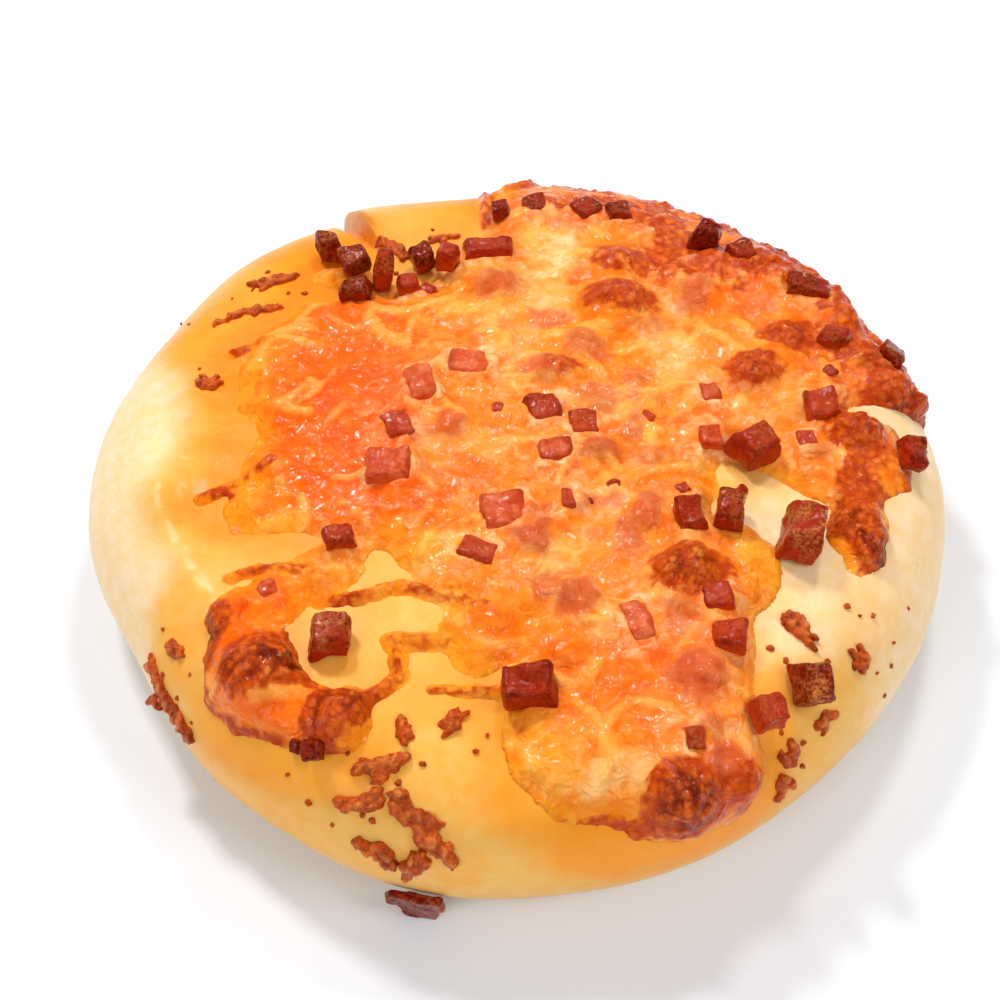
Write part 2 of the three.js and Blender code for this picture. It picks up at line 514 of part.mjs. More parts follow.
// The sheet's triangles in unrolled coordinates: a triangular lattice cut off at the cheese's edge.
function sheetTriangles() {
  const points = [];
  const triangles = [];
  const rowHeight = LATTICE * Math.sqrt(3) / 2;
  const reach = RIM_COVER.reach + 3 * LATTICE;
  const rows = Math.ceil(2 * reach / rowHeight);
  const columns = Math.ceil(2 * reach / LATTICE);
  const at = (row, column) => row * (columns + 1) + column;
  for (let row = 0; row <= rows; row++) {
    for (let column = 0; column <= columns; column++) {
      const shift = row % 2 ? LATTICE / 2 : 0;
      points.push(latticePoint(column * LATTICE - reach + shift, row * rowHeight - reach));
    }
  }
  const crossings = new Map();
  const crossing = (a, b) => {
    const key = Math.min(a, b) + "-" + Math.max(a, b);
    if (!crossings.has(key)) {
      points.push(edgeCrossing(points[a], points[b]));
      crossings.set(key, points.length - 1);
    }
    return crossings.get(key);
  };
  const clip = (corners) => {
    const inside = corners.map((corner) => points[corner].inside);
    if (Math.max(...inside) <= 0) return;
    const outline = [];
    corners.forEach((corner, i) => {
      const next = corners[(i + 1) % 3];
      if (inside[i] >= 0) outline.push(corner);
      if (inside[i] * points[next].inside < 0) {
        outline.push(inside[i] > 0 ? crossing(corner, next) : crossing(next, corner));
      }
    });
    for (let i = 1; i + 1 < outline.length; i++) triangles.push([outline[0], outline[i], outline[i + 1]]);
  };
  for (let row = 0; row < rows; row++) {
    for (let column = 0; column < columns; column++) {
      const [a, b] = [at(row, column), at(row, column + 1)];
      const [c, d] = [at(row + 1, column), at(row + 1, column + 1)];
      if (row % 2) {
        clip([a, b, d]);
        clip([a, d, c]);
      } else {
        clip([a, b, c]);
        clip([b, d, c]);
      }
    }
  }
  return { points, triangles };
}

// The triangles that hang together in the largest piece.
function largestPatch(triangles) {
  const owner = new Map();
  const root = (point) => {
    while (owner.get(point) !== point) point = owner.get(point);
    return point;
  };
  for (const triangle of triangles) {
    for (const point of triangle) if (!owner.has(point)) owner.set(point, point);
    owner.set(root(triangle[1]), root(triangle[0]));
    owner.set(root(triangle[2]), root(triangle[0]));
  }
  const sizes = new Map();
  for (const [point] of triangles) sizes.set(root(point), (sizes.get(root(point)) ?? 0) + 1);
  const [largest] = [...sizes].sort((a, b) => b[1] - a[1])[0];
  return triangles.filter(([point]) => root(point) === largest);
}

// The melted sheet: an upper and a lower face split into triangles alike, joined round the edges.
function sheetGeometry() {
  const { points, triangles } = sheetTriangles();
  const kept = largestPatch(triangles);
  const count = points.length;
  const position = new Float32Array(count * 6);
  points.forEach(({ x, y, inside }, i) => {
    onSkin(x, y, GAP + cheeseThickness(x, y, inside)).toArray(position, i * 3);
    onSkin(x, y, GAP).toArray(position, (count + i) * 3);
  });
  const index = [];
  const edges = new Set();
  for (const [a, b, c] of kept) {
    index.push(a, b, c, count + a, count + c, count + b);
    for (const [from, to] of [[a, b], [b, c], [c, a]]) edges.add(from + "-" + to);
  }
  for (const edge of edges) {
    const [from, to] = edge.split("-").map(Number);
    if (edges.has(to + "-" + from)) continue;
    index.push(from, count + from, to, to, count + from, count + to);
  }
  const geometry = new THREE.BufferGeometry();
  geometry.setAttribute("position", new THREE.BufferAttribute(position, 3));
  geometry.setIndex(index);
  return weld(geometry);
}

// A piece of ham: a rough cube that narrows a little towards its top face.
function hamBlock({ wide, deep }, height, grow, seed) {
  const draw = draws(seed);
  const block = new THREE.BoxGeometry(1, 1, 1, 1, 1, 2);
  const position = block.attributes.position;
  const stray = new Map();
  for (let i = 0; i < position.count; i++) {
    const key = [position.getX(i), position.getY(i), position.getZ(i)].join();
    if (!stray.has(key)) stray.set(key, [draw() - 0.5, draw() - 0.5, draw() - 0.5]);
    const [sx, sy, sz] = stray.get(key);
    const level = position.getZ(i) + 0.5;
    const narrow = level > 0.75 ? HAM_TAPER : 1;
    const share = level === 0.5 ? HAM_SHOULDER : level;
    position.setXYZ(
      i,
      position.getX(i) * (wide * narrow * (1 + HAM_ROUGH * 2 * sx) + 2 * grow),
      position.getY(i) * (deep * narrow * (1 + HAM_ROUGH * 2 * sy) + 2 * grow),
      share * height * (1 + HAM_ROUGH * sz * (level > 0.75 ? 1 : 0)) + grow * (level > 0.25 ? 1 : -1),
    );
  }
  return weld(block);
}

// The piece in its place, grown by the clearance where a pocket is cut for it.
function hamPiece(piece, grow, seed) {
  const seat = insideCheese(piece.x, piece.y) > 0 ? 2 * GAP + POCKET_FLOOR : GAP;
  const lean = radians(piece.lean);
  const base = seat + Math.abs(Math.sin(lean)) * piece.deep / 2;
  const block = hamBlock(piece, piece.top - base, grow, seed);
  block.applyMatrix4(new THREE.Matrix4().makeRotationX(lean));
  block.applyMatrix4(new THREE.Matrix4().makeRotationZ(radians(piece.turn)));
  block.applyMatrix4(skinFrame(piece.x, piece.y, base));
  return block;
}

function cheeseGeometry() {
  let solid = toSolid(sheetGeometry());
  HAM.forEach((piece, i) => {
    solid = solid.subtract(toSolid(hamPiece(piece, GAP, i + 1)));
  });
  const geometry = toGeometry(solid);
  const corners = Array.from(geometry.index.array);
  const triangles = [];
  for (let i = 0; i < corners.length; i += 3) triangles.push(corners.slice(i, i + 3));
  geometry.setIndex(largestPatch(triangles).flat());
  return geometry;
}

// The fallen strip: one lower corner rests on the floor, and it leans away from the bun.
function fallenGeometry() {
  const block = hamBlock(FALLEN, FALLEN.height, 0, 90);
  const position = block.attributes.position;
  for (let i = 0; i < position.count; i++) {
    const share = position.getZ(i) / FALLEN.height;
    const narrow = 0.5 + 0.5 * Math.min(1, share * 1.6);
    position.setX(i, position.getX(i) * narrow + (1 - narrow) * FALLEN.wide * 0.25);
    position.setY(i, position.getY(i) - FALLEN.splay * share);
    position.setZ(i, Math.max(position.getZ(i), 0));
  }
  block.applyMatrix4(new THREE.Matrix4().makeRotationZ(radians(FALLEN.turn)));
  block.translate(FALLEN.x, FALLEN.y, 0);
  return block;
}

function named(name, geometry, look) {
  const mesh = new THREE.Mesh(geometry, new THREE.MeshStandardMaterial(COLOURS[look]));
  mesh.name = name;
  return mesh;
}

const pizza = new THREE.Group();
pizza.add(named("bread", breadGeometry(), "bread"));
pizza.add(named("cheese", cheeseGeometry(), "cheese"));
HAM.forEach((piece, i) => {
  pizza.add(named("ham_" + String(i + 1).padStart(2, "0"), hamPiece(piece, 0, i + 1), "ham"));
});
pizza.add(named("ham_fallen", fallenGeometry(), "ham"));

export default pizza;
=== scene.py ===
"""A ham pizza: its golden bun, melted cheese, baked shreds and diced ham, on a pale floor."""

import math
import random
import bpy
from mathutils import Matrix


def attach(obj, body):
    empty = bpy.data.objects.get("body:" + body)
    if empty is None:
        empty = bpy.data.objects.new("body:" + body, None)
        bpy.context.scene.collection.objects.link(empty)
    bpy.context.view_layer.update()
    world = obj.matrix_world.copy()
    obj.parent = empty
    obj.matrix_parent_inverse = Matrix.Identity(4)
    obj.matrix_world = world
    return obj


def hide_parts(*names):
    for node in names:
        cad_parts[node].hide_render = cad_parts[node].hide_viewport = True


bl_info = {
    "name": "Ham Pizza",
    "version": (1, 0, 0),
    "blender": (4, 5, 0),
    "location": "3D View > Sidebar > Pizza",
    "description": "Dresses the packed ham pizza: crust, melted cheese, baked shreds and diced ham",
    "category": "Object",
}

import bmesh
import bpy
import numpy as np
from mathutils import Matrix, Vector, noise
from mathutils.geometry import convex_hull_2d

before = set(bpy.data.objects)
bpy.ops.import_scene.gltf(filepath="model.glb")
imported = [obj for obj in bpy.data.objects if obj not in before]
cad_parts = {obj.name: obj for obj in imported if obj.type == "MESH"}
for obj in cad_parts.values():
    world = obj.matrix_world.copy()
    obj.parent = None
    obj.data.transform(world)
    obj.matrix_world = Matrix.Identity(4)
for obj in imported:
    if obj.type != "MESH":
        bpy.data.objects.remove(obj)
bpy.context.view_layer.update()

MM = 0.001
BODY = "root"

# The bun's skin, in millimetres, as in the solid.
BUN_RADIUS = 59.4
BUN_HEIGHT = 24.0
CROWN = 1.6
SHOULDER = 12.0
FOOT_INSET = 9.0
UNEVEN = {"size": 30.0, "seed": 2.0}
UNEVEN_HEIGHT = 0.35
RIM_SWELLS = (  # degrees, rise, spread
    (3, 0.7, 16), (90, -0.5, 30), (135, 1.1, 13), (178, 1.0, 14), (209, -2.4, 15),
    (235, -0.6, 12), (262, 0.9, 20), (316, -0.9, 14),
)
LIP_FROM, SPLIT_STEP, SPLIT_FLOOR, SPLIT_END = 98.0, 116.4, 117.4, 120.2
LIP_RISE, SPLIT_DEPTH = 1.5, 2.4
SPLIT_FROM, SPLIT_FULL = 42.0, 51.0

# The melted sheet, laid out on the unrolled skin as in the solid.
GAP = 0.3
CHEESE = 1.7
CHEESE_EDGE = 0.7
EDGE_RUN = 5.0
RAGGED = {"size": 7.0, "seed": 5.0}
RAGGED_REACH = 0.9
LUMPY = {"size": 11.0, "seed": 9.0}
LUMPY_HEIGHT = 0.4
COVER_FROM, COVER_TO, COVER_REACH = 8.5, 94.5, 62.6
POOLS = (  # middle, half sizes and turn
    (-21.5, 12, 18, 17.5, 0), (-12, 24, 10.5, 7, 0), (-26.5, 32.8, 3.4, 3.2, 0), (-20, -5, 17.5, 12.5, 0),
    (-34, -11.5, 5.2, 4.5, 0), (-3.4, 36.6, 5.4, 5.6, 0), (3, -5, 24, 26, 0), (-4, -32, 6.5, 6.5, 0),
    (25, -21.5, 9, 9.5, 15), (8.5, -44.5, 10.5, 14, 0), (17, -38, 13, 22, 0), (22, -50, 9.5, 11, 0), (3.5, -31.7, 3.4, 3.2, 0),
    (20, 25, 32, 29, 0), (34, -1.5, 4.5, 4.6, 0), (44.5, -2, 10.5, 8.6, 0), (45, -14, 4.4, 8, 0),
    (-24, -20, 4.5, 3.5, 0), (-25.5, -24.5, 3.6, 3.8, 0), (-31.5, -26.5, 4.8, 5.5, 0),
    (-36, -28.5, 4.4, 4.4, 0), (-33.5, -37, 7, 9.6, 12), (-28, -42.5, 5.5, 5, 0), (-22.5, -44, 5, 5.2, 0),
)
SHREDS = (  # a bent line, its width and its rise
    (((-40.2, 17.8), (-35, 19.8)), 2.6, 0.6),
    (((-42.2, -9.2), (-37, -6.5), (-33, -4.5)), 2.4, 1.0),
    (((-37.2, -22.8), (-33.2, -21.4), (-28.5, -21.8), (-25, -23.5)), 2.8, 1.1),
    (((-23.4, -27), (-19.8, -26), (-14.8, -24.5), (-10.2, -26.2), (-5.7, -27.9), (-3, -30.6)), 3, 1.2),
    (((-16, -33), (-9.5, -33.4)), 3.6, 1.0),
    (((-15.4, -34.6), (-14.6, -38.4), (-19.6, -42.4)), 3, 1.1),
    (((-10.8, -40.3), (-2, -40.6)), 2.2, 0.6),
    (((-4.7, 55.5), (-4.4, 44)), 2.2, 0.7),
)
BARE = ((-22.6, -33.4, 4.9, 5.8, 0), (-12.6, -29.2, 2.6, 2, 0))
LUMPS = (  # middle, radius and rise
    (-3, 28.5, 4.2, 1.7), (14.8, 24.5, 5.6, 3.0), (14, 33.5, 5, 2.3), (26, 28.5, 4, 1.6),
    (23, 31.5, 2.8, 1.4), (29.5, 34.5, 3.4, 1.5), (32.6, 11, 3.6, 2.7), (36.3, 15.5, 3.2, 1.6),
    (39, 19.5, 3.4, 1.9), (26.6, 11, 2.6, 1.6), (6, 10.5, 4.2, 2.0), (9.6, 16.5, 3.6, 1.6),
    (46.3, 1.6, 3.4, 2.5), (48.6, 16.6, 2.8, 1.9), (52.3, 10.8, 3.6, 2.3), (56.2, 9.6, 2.6, 1.7),
    (46.6, 23.6, 3, 1.8), (46.4, 28.4, 2.6, 1.6), (37.6, 31.5, 2.8, 1.5), (22, -24.2, 5.2, 3.0),
    (19.6, -53.2, 5.2, 3.3), (27.4, -50.4, 3.6, 1.7), (22.8, -38.8, 3.6, 1.4), (6.6, -28.4, 3.8, 1.7),
    (6.2, -35.2, 3, 1.3), (17, -14.6, 3.4, 1.6), (1.6, -17.6, 3, 1.3), (11, -4, 2.8, 1.2),
    (-8.3, 1.2, 3, 1.2), (46, -13, 3.2, 2.0), (46.8, -17.4, 3, 2.2), (42.6, -14.6, 2.2, 1.3),
    (-32.2, -37.8, 5.2, 3.0), (-37, -29.2, 3.4, 1.6), (-21.8, -44.2, 4, 2.4), (34, -41.6, 2.6, 1.0),
)

# Where the sheet's colour changes: middle, half sizes and amount.
OILY = (
    (-24, 4, 13, 19, 0.85), (-20, 6, 7, 8, 0.4), (-25, 24, 9, 4.5, 0.65), (-19, -11, 12, 5, 0.6),
    (-6, -9, 8, 6, 0.25), (15, -40, 10, 7, 0.55), (2, -34, 6, 5, 0.35), (26, -30, 5, 8, 0.4),
    (-31, -33, 10, 10, 0.72), (-31, -44, 8, 5, 0.6), (-20, -42, 6, 4, 0.5), (25, 5, 6, 5, 0.2), (34, 26, 8, 5, 0.3), (14, -24, 4, 4, 0.3),
    (40, -6, 5, 4, 0.3), (10, 46, 12, 4, 0.55), (30, 34, 16, 7, 0.6), (46, 18, 8, 9, 0.5), (-2, 40, 3, 6, 0.4),
)
PALE = (
    (6, 39, 4.5, 9.5, 0.9), (4, 26, 4, 5, 0.7), (22, 15, 3.6, 6, 0.75), (23, 30, 4.5, 7, 0.55),
    (0, 20, 4.5, 12, 0.35), (-12, -4, 3, 5, 0.55), (12.5, -12, 3.2, 2.6, 0.65), (5.5, -21, 3.2, 3.8, 0.6),
    (16, -24.5, 1.8, 3.5, 0.6), (11, -32.5, 2.2, 2.2, 0.7), (26.5, -46.5, 3.5, 2, 0.55),
    (10, -52, 8, 2.6, 0.75), (33, 3, 4, 3, 0.4), (38, 8, 3, 3, 0.35), (47, 12, 3, 3, 0.3),
    (14, 6, 4, 3, 0.45), (-4, -2, 5, 3, 0.4), (-22, -27, 3, 2, 0.3), (-13, -22.5, 2.4, 1.8, 0.8),
)
YELLOW = (
    (-37.5, 2, 4, 18, 0.9), (-33, -15.5, 4.5, 3.2, 0.8), (-10, -20, 8, 2.4, 0.5), (-8, -36, 4, 3, 0.5),
    (33.5, -7, 4, 2.5, 0.7), (30, -20, 2.5, 6, 0.5), (2, -52, 4, 6, 0.5), (-27, -27, 3, 4, 0.4),
)
HAM_BELOW = (  # ham under a film of cheese: middle, size across and along, turn and amount
    (4.3, 11.6, 6.5, 4.5, 15, 0.75), (10.8, -3.8, 7, 3.6, -20, 0.8), (15.7, 1.4, 5.5, 4, 40, 0.6),
    (10.9, -12.1, 6, 3, 10, 0.6), (17, -13.7, 5.5, 4.4, 65, 0.75), (1.6, -18.3, 6, 4.4, 20, 0.85),
    (15, -17.7, 5, 6, 10, 0.7), (7.5, -28.3, 7, 6, 35, 0.8), (3.7, -25.8, 4.4, 3.6, 0, 0.6),
    (20.8, -30.2, 5, 6, 20, 0.55), (22.4, -39.1, 7, 7, 40, 0.85), (25.2, -50.1, 6.5, 5.5, 20, 0.85),
    (-2.3, 28.5, 6.5, 5, 10, 0.75), (15.4, 35.3, 7, 4, 0, 0.5), (25.2, 26.8, 6.5, 5, 20, 0.75),
    (28.7, 34.7, 5, 4, -20, 0.6), (4.2, 22.1, 6, 4, 15, 0.65), (10.4, 16.1, 6.5, 4.4, -10, 0.6),
    (17.9, -4.5, 5, 4, 30, 0.55), (-9.1, 0.7, 6, 3.4, -15, 0.75), (45.5, 1.1, 4.5, 3.5, 0, 0.4),
    (41, -2.8, 4, 3.4, 20, 0.6), (23.6, -45.6, 4.5, 4, 0, 0.5), (31, 9, 4, 3.6, 30, 0.5),
    (36, 26, 5, 4, 10, 0.5), (20, 42, 6, 3.4, 0, 0.4), (8, 44, 5, 3.4, 20, 0.35), (44, 20, 4, 3.4, 30, 0.45),
    (-5, -8.2, 4, 3, 20, 0.4), (1.2, -14.6, 4, 3, 50, 0.5), (11.5, 6.5, 6, 4, 20, 0.65),
    (16.5, 9.5, 4, 5, -15, 0.5), (6, 3.5, 4, 3, 40, 0.5), (19, 20, 5, 4, 30, 0.4),
)
BROWNED = (
    (14.8, 25.5, 6, 4, 0.75), (14, 33.5, 4.5, 3, 0.35), (38.5, 19.5, 4.5, 3.5, 0.8), (33, 12, 4.5, 3.5, 0.8),
    (45.5, 2.4, 5, 4, 0.75), (48, -2, 4, 4, 0.5), (45.5, -9, 3.5, 6, 0.65), (46.8, -17.4, 3.5, 4, 0.95),
    (42.5, -14.5, 3, 3, 0.8), (6, 11.5, 4.2, 3, 0.45), (22.3, -23.8, 5.5, 4.2, 0.85),
    (-32.5, -37, 4.6, 4.2, 0.95), (-38.2, -29.6, 2.6, 3.4, 0.65), (-22, -43.8, 3.9, 3.1, 0.85),
    (20, -53.6, 5.2, 4.2, 1.0), (14, -58, 9, 2.2, 0.5), (28, -52, 4, 4, 0.55), (52, 11, 4, 6, 0.6),
    (56, 9, 3, 5, 0.7), (48, 17, 4, 3, 0.5), (46.5, 24.5, 4, 4, 0.55), (43, 31, 5, 3, 0.5),
    (36, 36, 5, 3, 0.5), (24, 40, 4, 3, 0.35), (28, 35, 15, 7, 0.44), (46, 14, 7, 9, 0.3), (10, 48, 12, 2.6, 0.5), (22, 45, 6, 3, 0.5),
    (-4, 50, 2, 6, 0.5), (34, -41, 3, 3, 0.35), (-16, -24.5, 4, 1.2, 0.3), (-8, -26.5, 4, 1.2, 0.3),
    (-33, -21.8, 6, 1.3, 0.45), (-40, -8.5, 2.5, 1.2, 0.5), (-15.4, -37, 1.5, 3, 0.4),
    (-13, -33.2, 4, 1.6, 0.3), (-18, -41.5, 3, 1.5, 0.4), (-38, 18.5, 3, 1, 0.35),
)

# Browned shreds and crumbs baked onto the bare crust: a bent line, width and rise.
BAKED_ON = (
    (((-43.6, 23.8), (-40.6, 25.6), (-34.2, 27)), 1.6, 1.1),
    (((-38.8, 31.2), (-35.5, 32.4), (-32.8, 33.6)), 2.2, 1.2),
    (((-44.6, 12.7), (-42.8, 11.7), (-41.8, 12.5)), 2.2, 1.3),
    (((-20.2, 41.2), (-17.6, 39.6), (-16.2, 37.4)), 2.2, 0.9),
    (((-13, 41.2), (-8.4, 42.4)), 1.5, 0.9),
    (((-45, -30.8), (-43.6, -33)), 2.2, 1.2),
    (((-9, -45.8), (-6.9, -43.7)), 2.3, 1.5),
    (((-14, -44.6), (-13.4, -47.6)), 2.6, 1.5),
    (((-19.8, -50.8), (-17, -51.2), (-14, -49.9)), 2.6, 1.5),
    (((-22.4, -54.4), (-19.6, -54.3), (-16.8, -54.2)), 2.5, 1.8),
    (((-15.4, -54.6), (-12.8, -57.4), (-10.4, -60), (-8, -62.6)), 3.6, 1.6),
    (((-20.4, -59.6), (-18, -61.4), (-16.6, -63.4)), 2.4, 1.6),
    (((-12.2, -61.8), (-14, -63.4), (-15.6, -65)), 2.8, 1.6),
    (((34.4, -28.6), (35.8, -30.8), (37.4, -32.6)), 2.6, 1.4),
    (((43.4, -32.6), (44.6, -35)), 2.5, 1.3),
    (((40.3, -41.3), (38.6, -43)), 2.4, 1.2),
    (((34.2, -46), (34.8, -48.4)), 2.7, 1.3),
    (((34.8, -50), (36, -52.4)), 3.2, 1.5),
    (((-50.2, -31.8), (-49, -36.6), (-47, -40.6), (-45, -44)), 2.8, 1.4),
    (((-51.4, -36.4), (-49.6, -38.4)), 2.2, 2.6),
)
# Loose crumbs and specks on the crust: place, size and how dark.
CRUMBS = (
    (42.3, -26.8, 0.9, 0.5), (46, -27.4, 0.8, 0.5), (44, -27.8, 0.5, 1.0), (50, -30, 0.6, 0.6),
    (50.4, -33, 0.7, 0.6), (51, -37, 0.8, 0.7), (-51, 30, 0.6, 0.4), (-48, 26, 0.6, 0.4),
    (56, 2, 1.4, 0.5), (-26.7, -54.3, 1.0, 0.5), (-29, -50.5, 0.7, 0.5), (-24, -57.5, 0.6, 0.5),
    (-5.2, -48.8, 0.8, 0.4), (-3.8, -46.6, 0.6, 0.4), (-11.6, -50.4, 0.9, 0.6), (-14.6, -52.6, 1.0, 0.6),
    (-18.2, -57.0, 0.9, 0.7), (-9.4, -57.8, 0.9, 0.6), (-20.8, -48.6, 0.8, 0.5), (31.8, -33.6, 1.1, 0.3),
    (33.6, -35.4, 0.9, 0.4), (39.2, -34.8, 0.9, 0.6), (36.4, -45.6, 0.9, 0.5), (32.8, -44.8, 0.8, 0.4),
    (37.4, -48.6, 0.9, 0.6), (-42.2, -35.8, 0.7, 0.5), (-46.4, -28.6, 0.6, 0.5), (-36.6, 34.6, 0.8, 0.5),
    (-41.4, 29.2, 0.6, 0.4), (-30.8, 29.6, 0.9, 0.6), (-33.2, 29.8, 0.7, 0.5), (-22.8, 39.4, 0.7, 0.6),
    (-44.8, 15.0, 0.5, 0.4), (-12.4, 43.8, 0.6, 0.5), (-17.6, 34.0, 0.8, 0.7), (-8.6, -60.6, 1.0, 0.7),
    (-12.6, -59.4, 1.1, 0.7), (-19.4, -56.2, 0.8, 0.6), (52.4, -24.6, 0.5, 0.6), (47.6, -34.6, 0.6, 0.5),
    (-47.6, -34.4, 0.8, 0.6), (-45.6, -38.2, 0.8, 0.7), (-43.8, -42.0, 0.7, 0.6),
)
# Small scraps of ham pressed into the cheese: place, size, how dark and how pale.
SCRAPS = (
    (-12.8, 28.8, 2.4, 0.4, 0.0), (-32, -25.6, 2.4, 0.1, 0.6), (8.8, -12, 1.9, 0.7, 0.0),
    (-27, -47.3, 1.8, 0.8, 0.0), (56.5, 2, 1.7, 0.6, 0.0), (13, -9.5, 1.8, 0.5, 0.2),
    (-2.6, 4.6, 1.6, 0.3, 0.4), (30, -8.6, 1.6, 0.5, 0.1), (22, -9.5, 1.7, 0.3, 0.3),
    (38, -12, 1.8, 0.5, 0.0), (18, 3, 1.8, 0.2, 0.5), (44, 12.4, 1.8, 0.5, 0.0),
)

# How each dice of ham was cooked: browned, pale, crusted, and how deep it sits in the cheese, 0 to 1.
HAM_LOOKS = {
    "ham_01": (0.85, 0, 0.5, 0.1), "ham_02": (0.8, 0, 0.5, 0.1), "ham_03": (0.55, 0, 0.8, 0.1), "ham_04": (0.85, 0, 0.3, 0.1),
    "ham_05": (0.35, 0, 0, 0.6), "ham_06": (0.85, 0, 0.1, 0.3), "ham_07": (0.35, 0, 0, 0.4), "ham_08": (0.4, 0, 0.1, 0.5),
    "ham_09": (0.75, 0, 0.1, 0.4), "ham_10": (0.7, 0, 0.2, 0.5), "ham_11": (0.65, 0, 0.2, 0.5), "ham_12": (0.7, 0, 0.2, 0.5),
    "ham_13": (1.0, 0, 0, 0.1), "ham_14": (0.6, 0, 0.3, 0.5), "ham_15": (0.7, 0, 0.2, 0.4), "ham_16": (0.5, 0, 0.2, 0.5),
    "ham_17": (0.8, 0, 0.5, 0.1), "ham_18": (0.65, 0, 0.2, 0.1), "ham_19": (0.3, 0.1, 0.1, 0.5), "ham_20": (0.25, 0.1, 0, 0.7),
    "ham_21": (0.45, 0, 0.15, 0.35), "ham_22": (0.2, 0.3, 0, 0.9), "ham_23": (0.15, 0.3, 0, 0.9), "ham_24": (0.1, 0.8, 0, 0.8),
    "ham_25": (0.05, 0.8, 0, 0.9), "ham_26": (0.3, 0.2, 0, 0.8), "ham_27": (0.45, 0.1, 0, 0.8), "ham_28": (0.3, 0.3, 0, 0.9),
    "ham_29": (0.15, 0.4, 0, 0.9), "ham_30": (0.1, 0.5, 0, 0.85), "ham_31": (0.3, 0.1, 0, 0.9), "ham_32": (0.5, 0, 0.1, 0.5),
    "ham_33": (0.6, 0, 0.25, 0.1), "ham_34": (0.45, 0, 0.9, 0.1), "ham_35": (0.3, 0, 0, 0.7), "ham_36": (0.25, 0, 0, 0.5),
    "ham_37": (0.1, 0.8, 0, 0.95), "ham_38": (0.55, 0, 0, 0.1), "ham_39": (0.85, 0, 0.7, 0.1), "ham_40": (0.3, 0, 0.2, 0.4),
    "ham_41": (0.4, 0, 0.2, 0.8), "ham_42": (0.1, 0.45, 0, 0.6), "ham_43": (0.45, 0, 0.1, 0.7), "ham_44": (0.3, 0.2, 0, 0.9),
    "ham_45": (0.55, 0, 0.6, 0.1), "ham_46": (0.85, 0, 0.1, 0.1), "ham_fallen": (0.9, 0, 0.35, 0.1),
}

FIELD_HALF = 66.0  # half side of the square that the sheet is cut from
SHEET_SINK = 0.15  # how far the sheet's underside sits in the crust


# Shape functions


def wander(x, y, size, seed):
    """A smooth, repeatable wandering value between -1 and 1."""
    total = 0.0
    for wave in range(4):
        heading = seed + wave * 2.4
        along = x * math.cos(heading) + y * math.sin(heading)
        total = total + np.sin(along * 2 * math.pi / (size * (0.8 + 0.2 * wave)) + seed * (wave + 1) * 1.7)
    return total / 4


def smooth(value, low, high):
    share = np.clip((value - low) / (high - low), 0, 1)
    return share * share * (3 - 2 * share)


def rim_radius(degrees):
    radius = np.full_like(degrees, BUN_RADIUS)
    for at, rise, spread in RIM_SWELLS:
        turn = (degrees - at + 180) % 360 - 180
        radius = radius + rise * np.exp(-((turn / spread) ** 2))
    return radius


def split_depth(degrees):
    """How far the split cuts into the dough; negative on the raised lip beside it."""
    lip = -LIP_RISE * smooth(degrees, LIP_FROM, SPLIT_STEP)
    cliff = np.interp(degrees, (SPLIT_STEP, SPLIT_FLOOR, SPLIT_END), (-LIP_RISE, SPLIT_DEPTH, 0))
    return np.where(degrees <= SPLIT_STEP, lip, cliff)


def on_skin(x, y, lift):
    """Points above the unrolled skin, as far as the rim, in millimetres."""
    distance = np.hypot(x, y)
    heading = np.arctan2(y, x)
    degrees = np.degrees(heading) % 360
    flat = rim_radius(degrees) - SHOULDER
    bend = np.clip((distance - flat) / SHOULDER, 0, math.pi / 2)
    split = split_depth(degrees) * smooth(distance, SPLIT_FROM, SPLIT_FULL)
    rise = lift + UNEVEN_HEIGHT * wander(x, y, **UNEVEN) - split
    radius = np.minimum(distance, flat) + (SHOULDER + rise) * np.sin(bend)
    crown = CROWN * np.maximum(0, 1 - (distance / flat) ** 2)
    height = BUN_HEIGHT - SHOULDER + crown + (SHOULDER + rise) * np.cos(bend)
    return np.stack((radius * np.cos(heading), radius * np.sin(heading), height), axis=-1)


def on_wall(degrees, share, lift):
    """Points on the wall below the rim: share 0 is the rim and share 1 the foot."""
    rim_distance = rim_radius(degrees) - SHOULDER + SHOULDER * math.pi / 2
    heading = np.radians(degrees)
    rim = on_skin(rim_distance * np.cos(heading), rim_distance * np.sin(heading), 0)
    mended = split_depth(degrees) * (1 - (1 - share) ** 2)
    tuck = FOOT_INSET * (1 - np.cos(share * math.pi / 2)) - mended - lift
    inward = 1 - tuck / np.hypot(rim[..., 0], rim[..., 1])
    height = rim[..., 2] * (1 - np.sin(share * math.pi / 2))
    return np.stack((rim[..., 0] * inward, rim[..., 1] * inward, height), axis=-1)


def unrolled(x, y):
    """The unrolled place of a point of the shoulder or top that is seen from above."""
    distance = math.hypot(x, y)
    flat = float(rim_radius(np.array(math.degrees(math.atan2(y, x)) % 360))) - SHOULDER
    if distance <= flat:
        return x, y
    bend = math.asin(min(1.0, (distance - flat) / (SHOULDER + 2)))
    return tuple(value * (flat + SHOULDER * bend) / distance for value in (x, y))


def winding(ring):
    """1 for a ring of points that turns left, -1 for one that turns right."""
    area = sum(a[0] * b[1] - b[0] * a[1] for a, b in zip(ring, (*ring[1:], ring[0])))
    return math.copysign(1, area)


def inside_ellipse(x, y, middle_x, middle_y, half_x, half_y, turn):
    cos, sin = math.cos(math.radians(turn)), math.sin(math.radians(turn))
    across = ((x - middle_x) * cos + (y - middle_y) * sin) / half_x
    along = ((y - middle_y) * cos - (x - middle_x) * sin) / half_y
    return (1 - np.hypot(across, along)) * min(half_x, half_y)


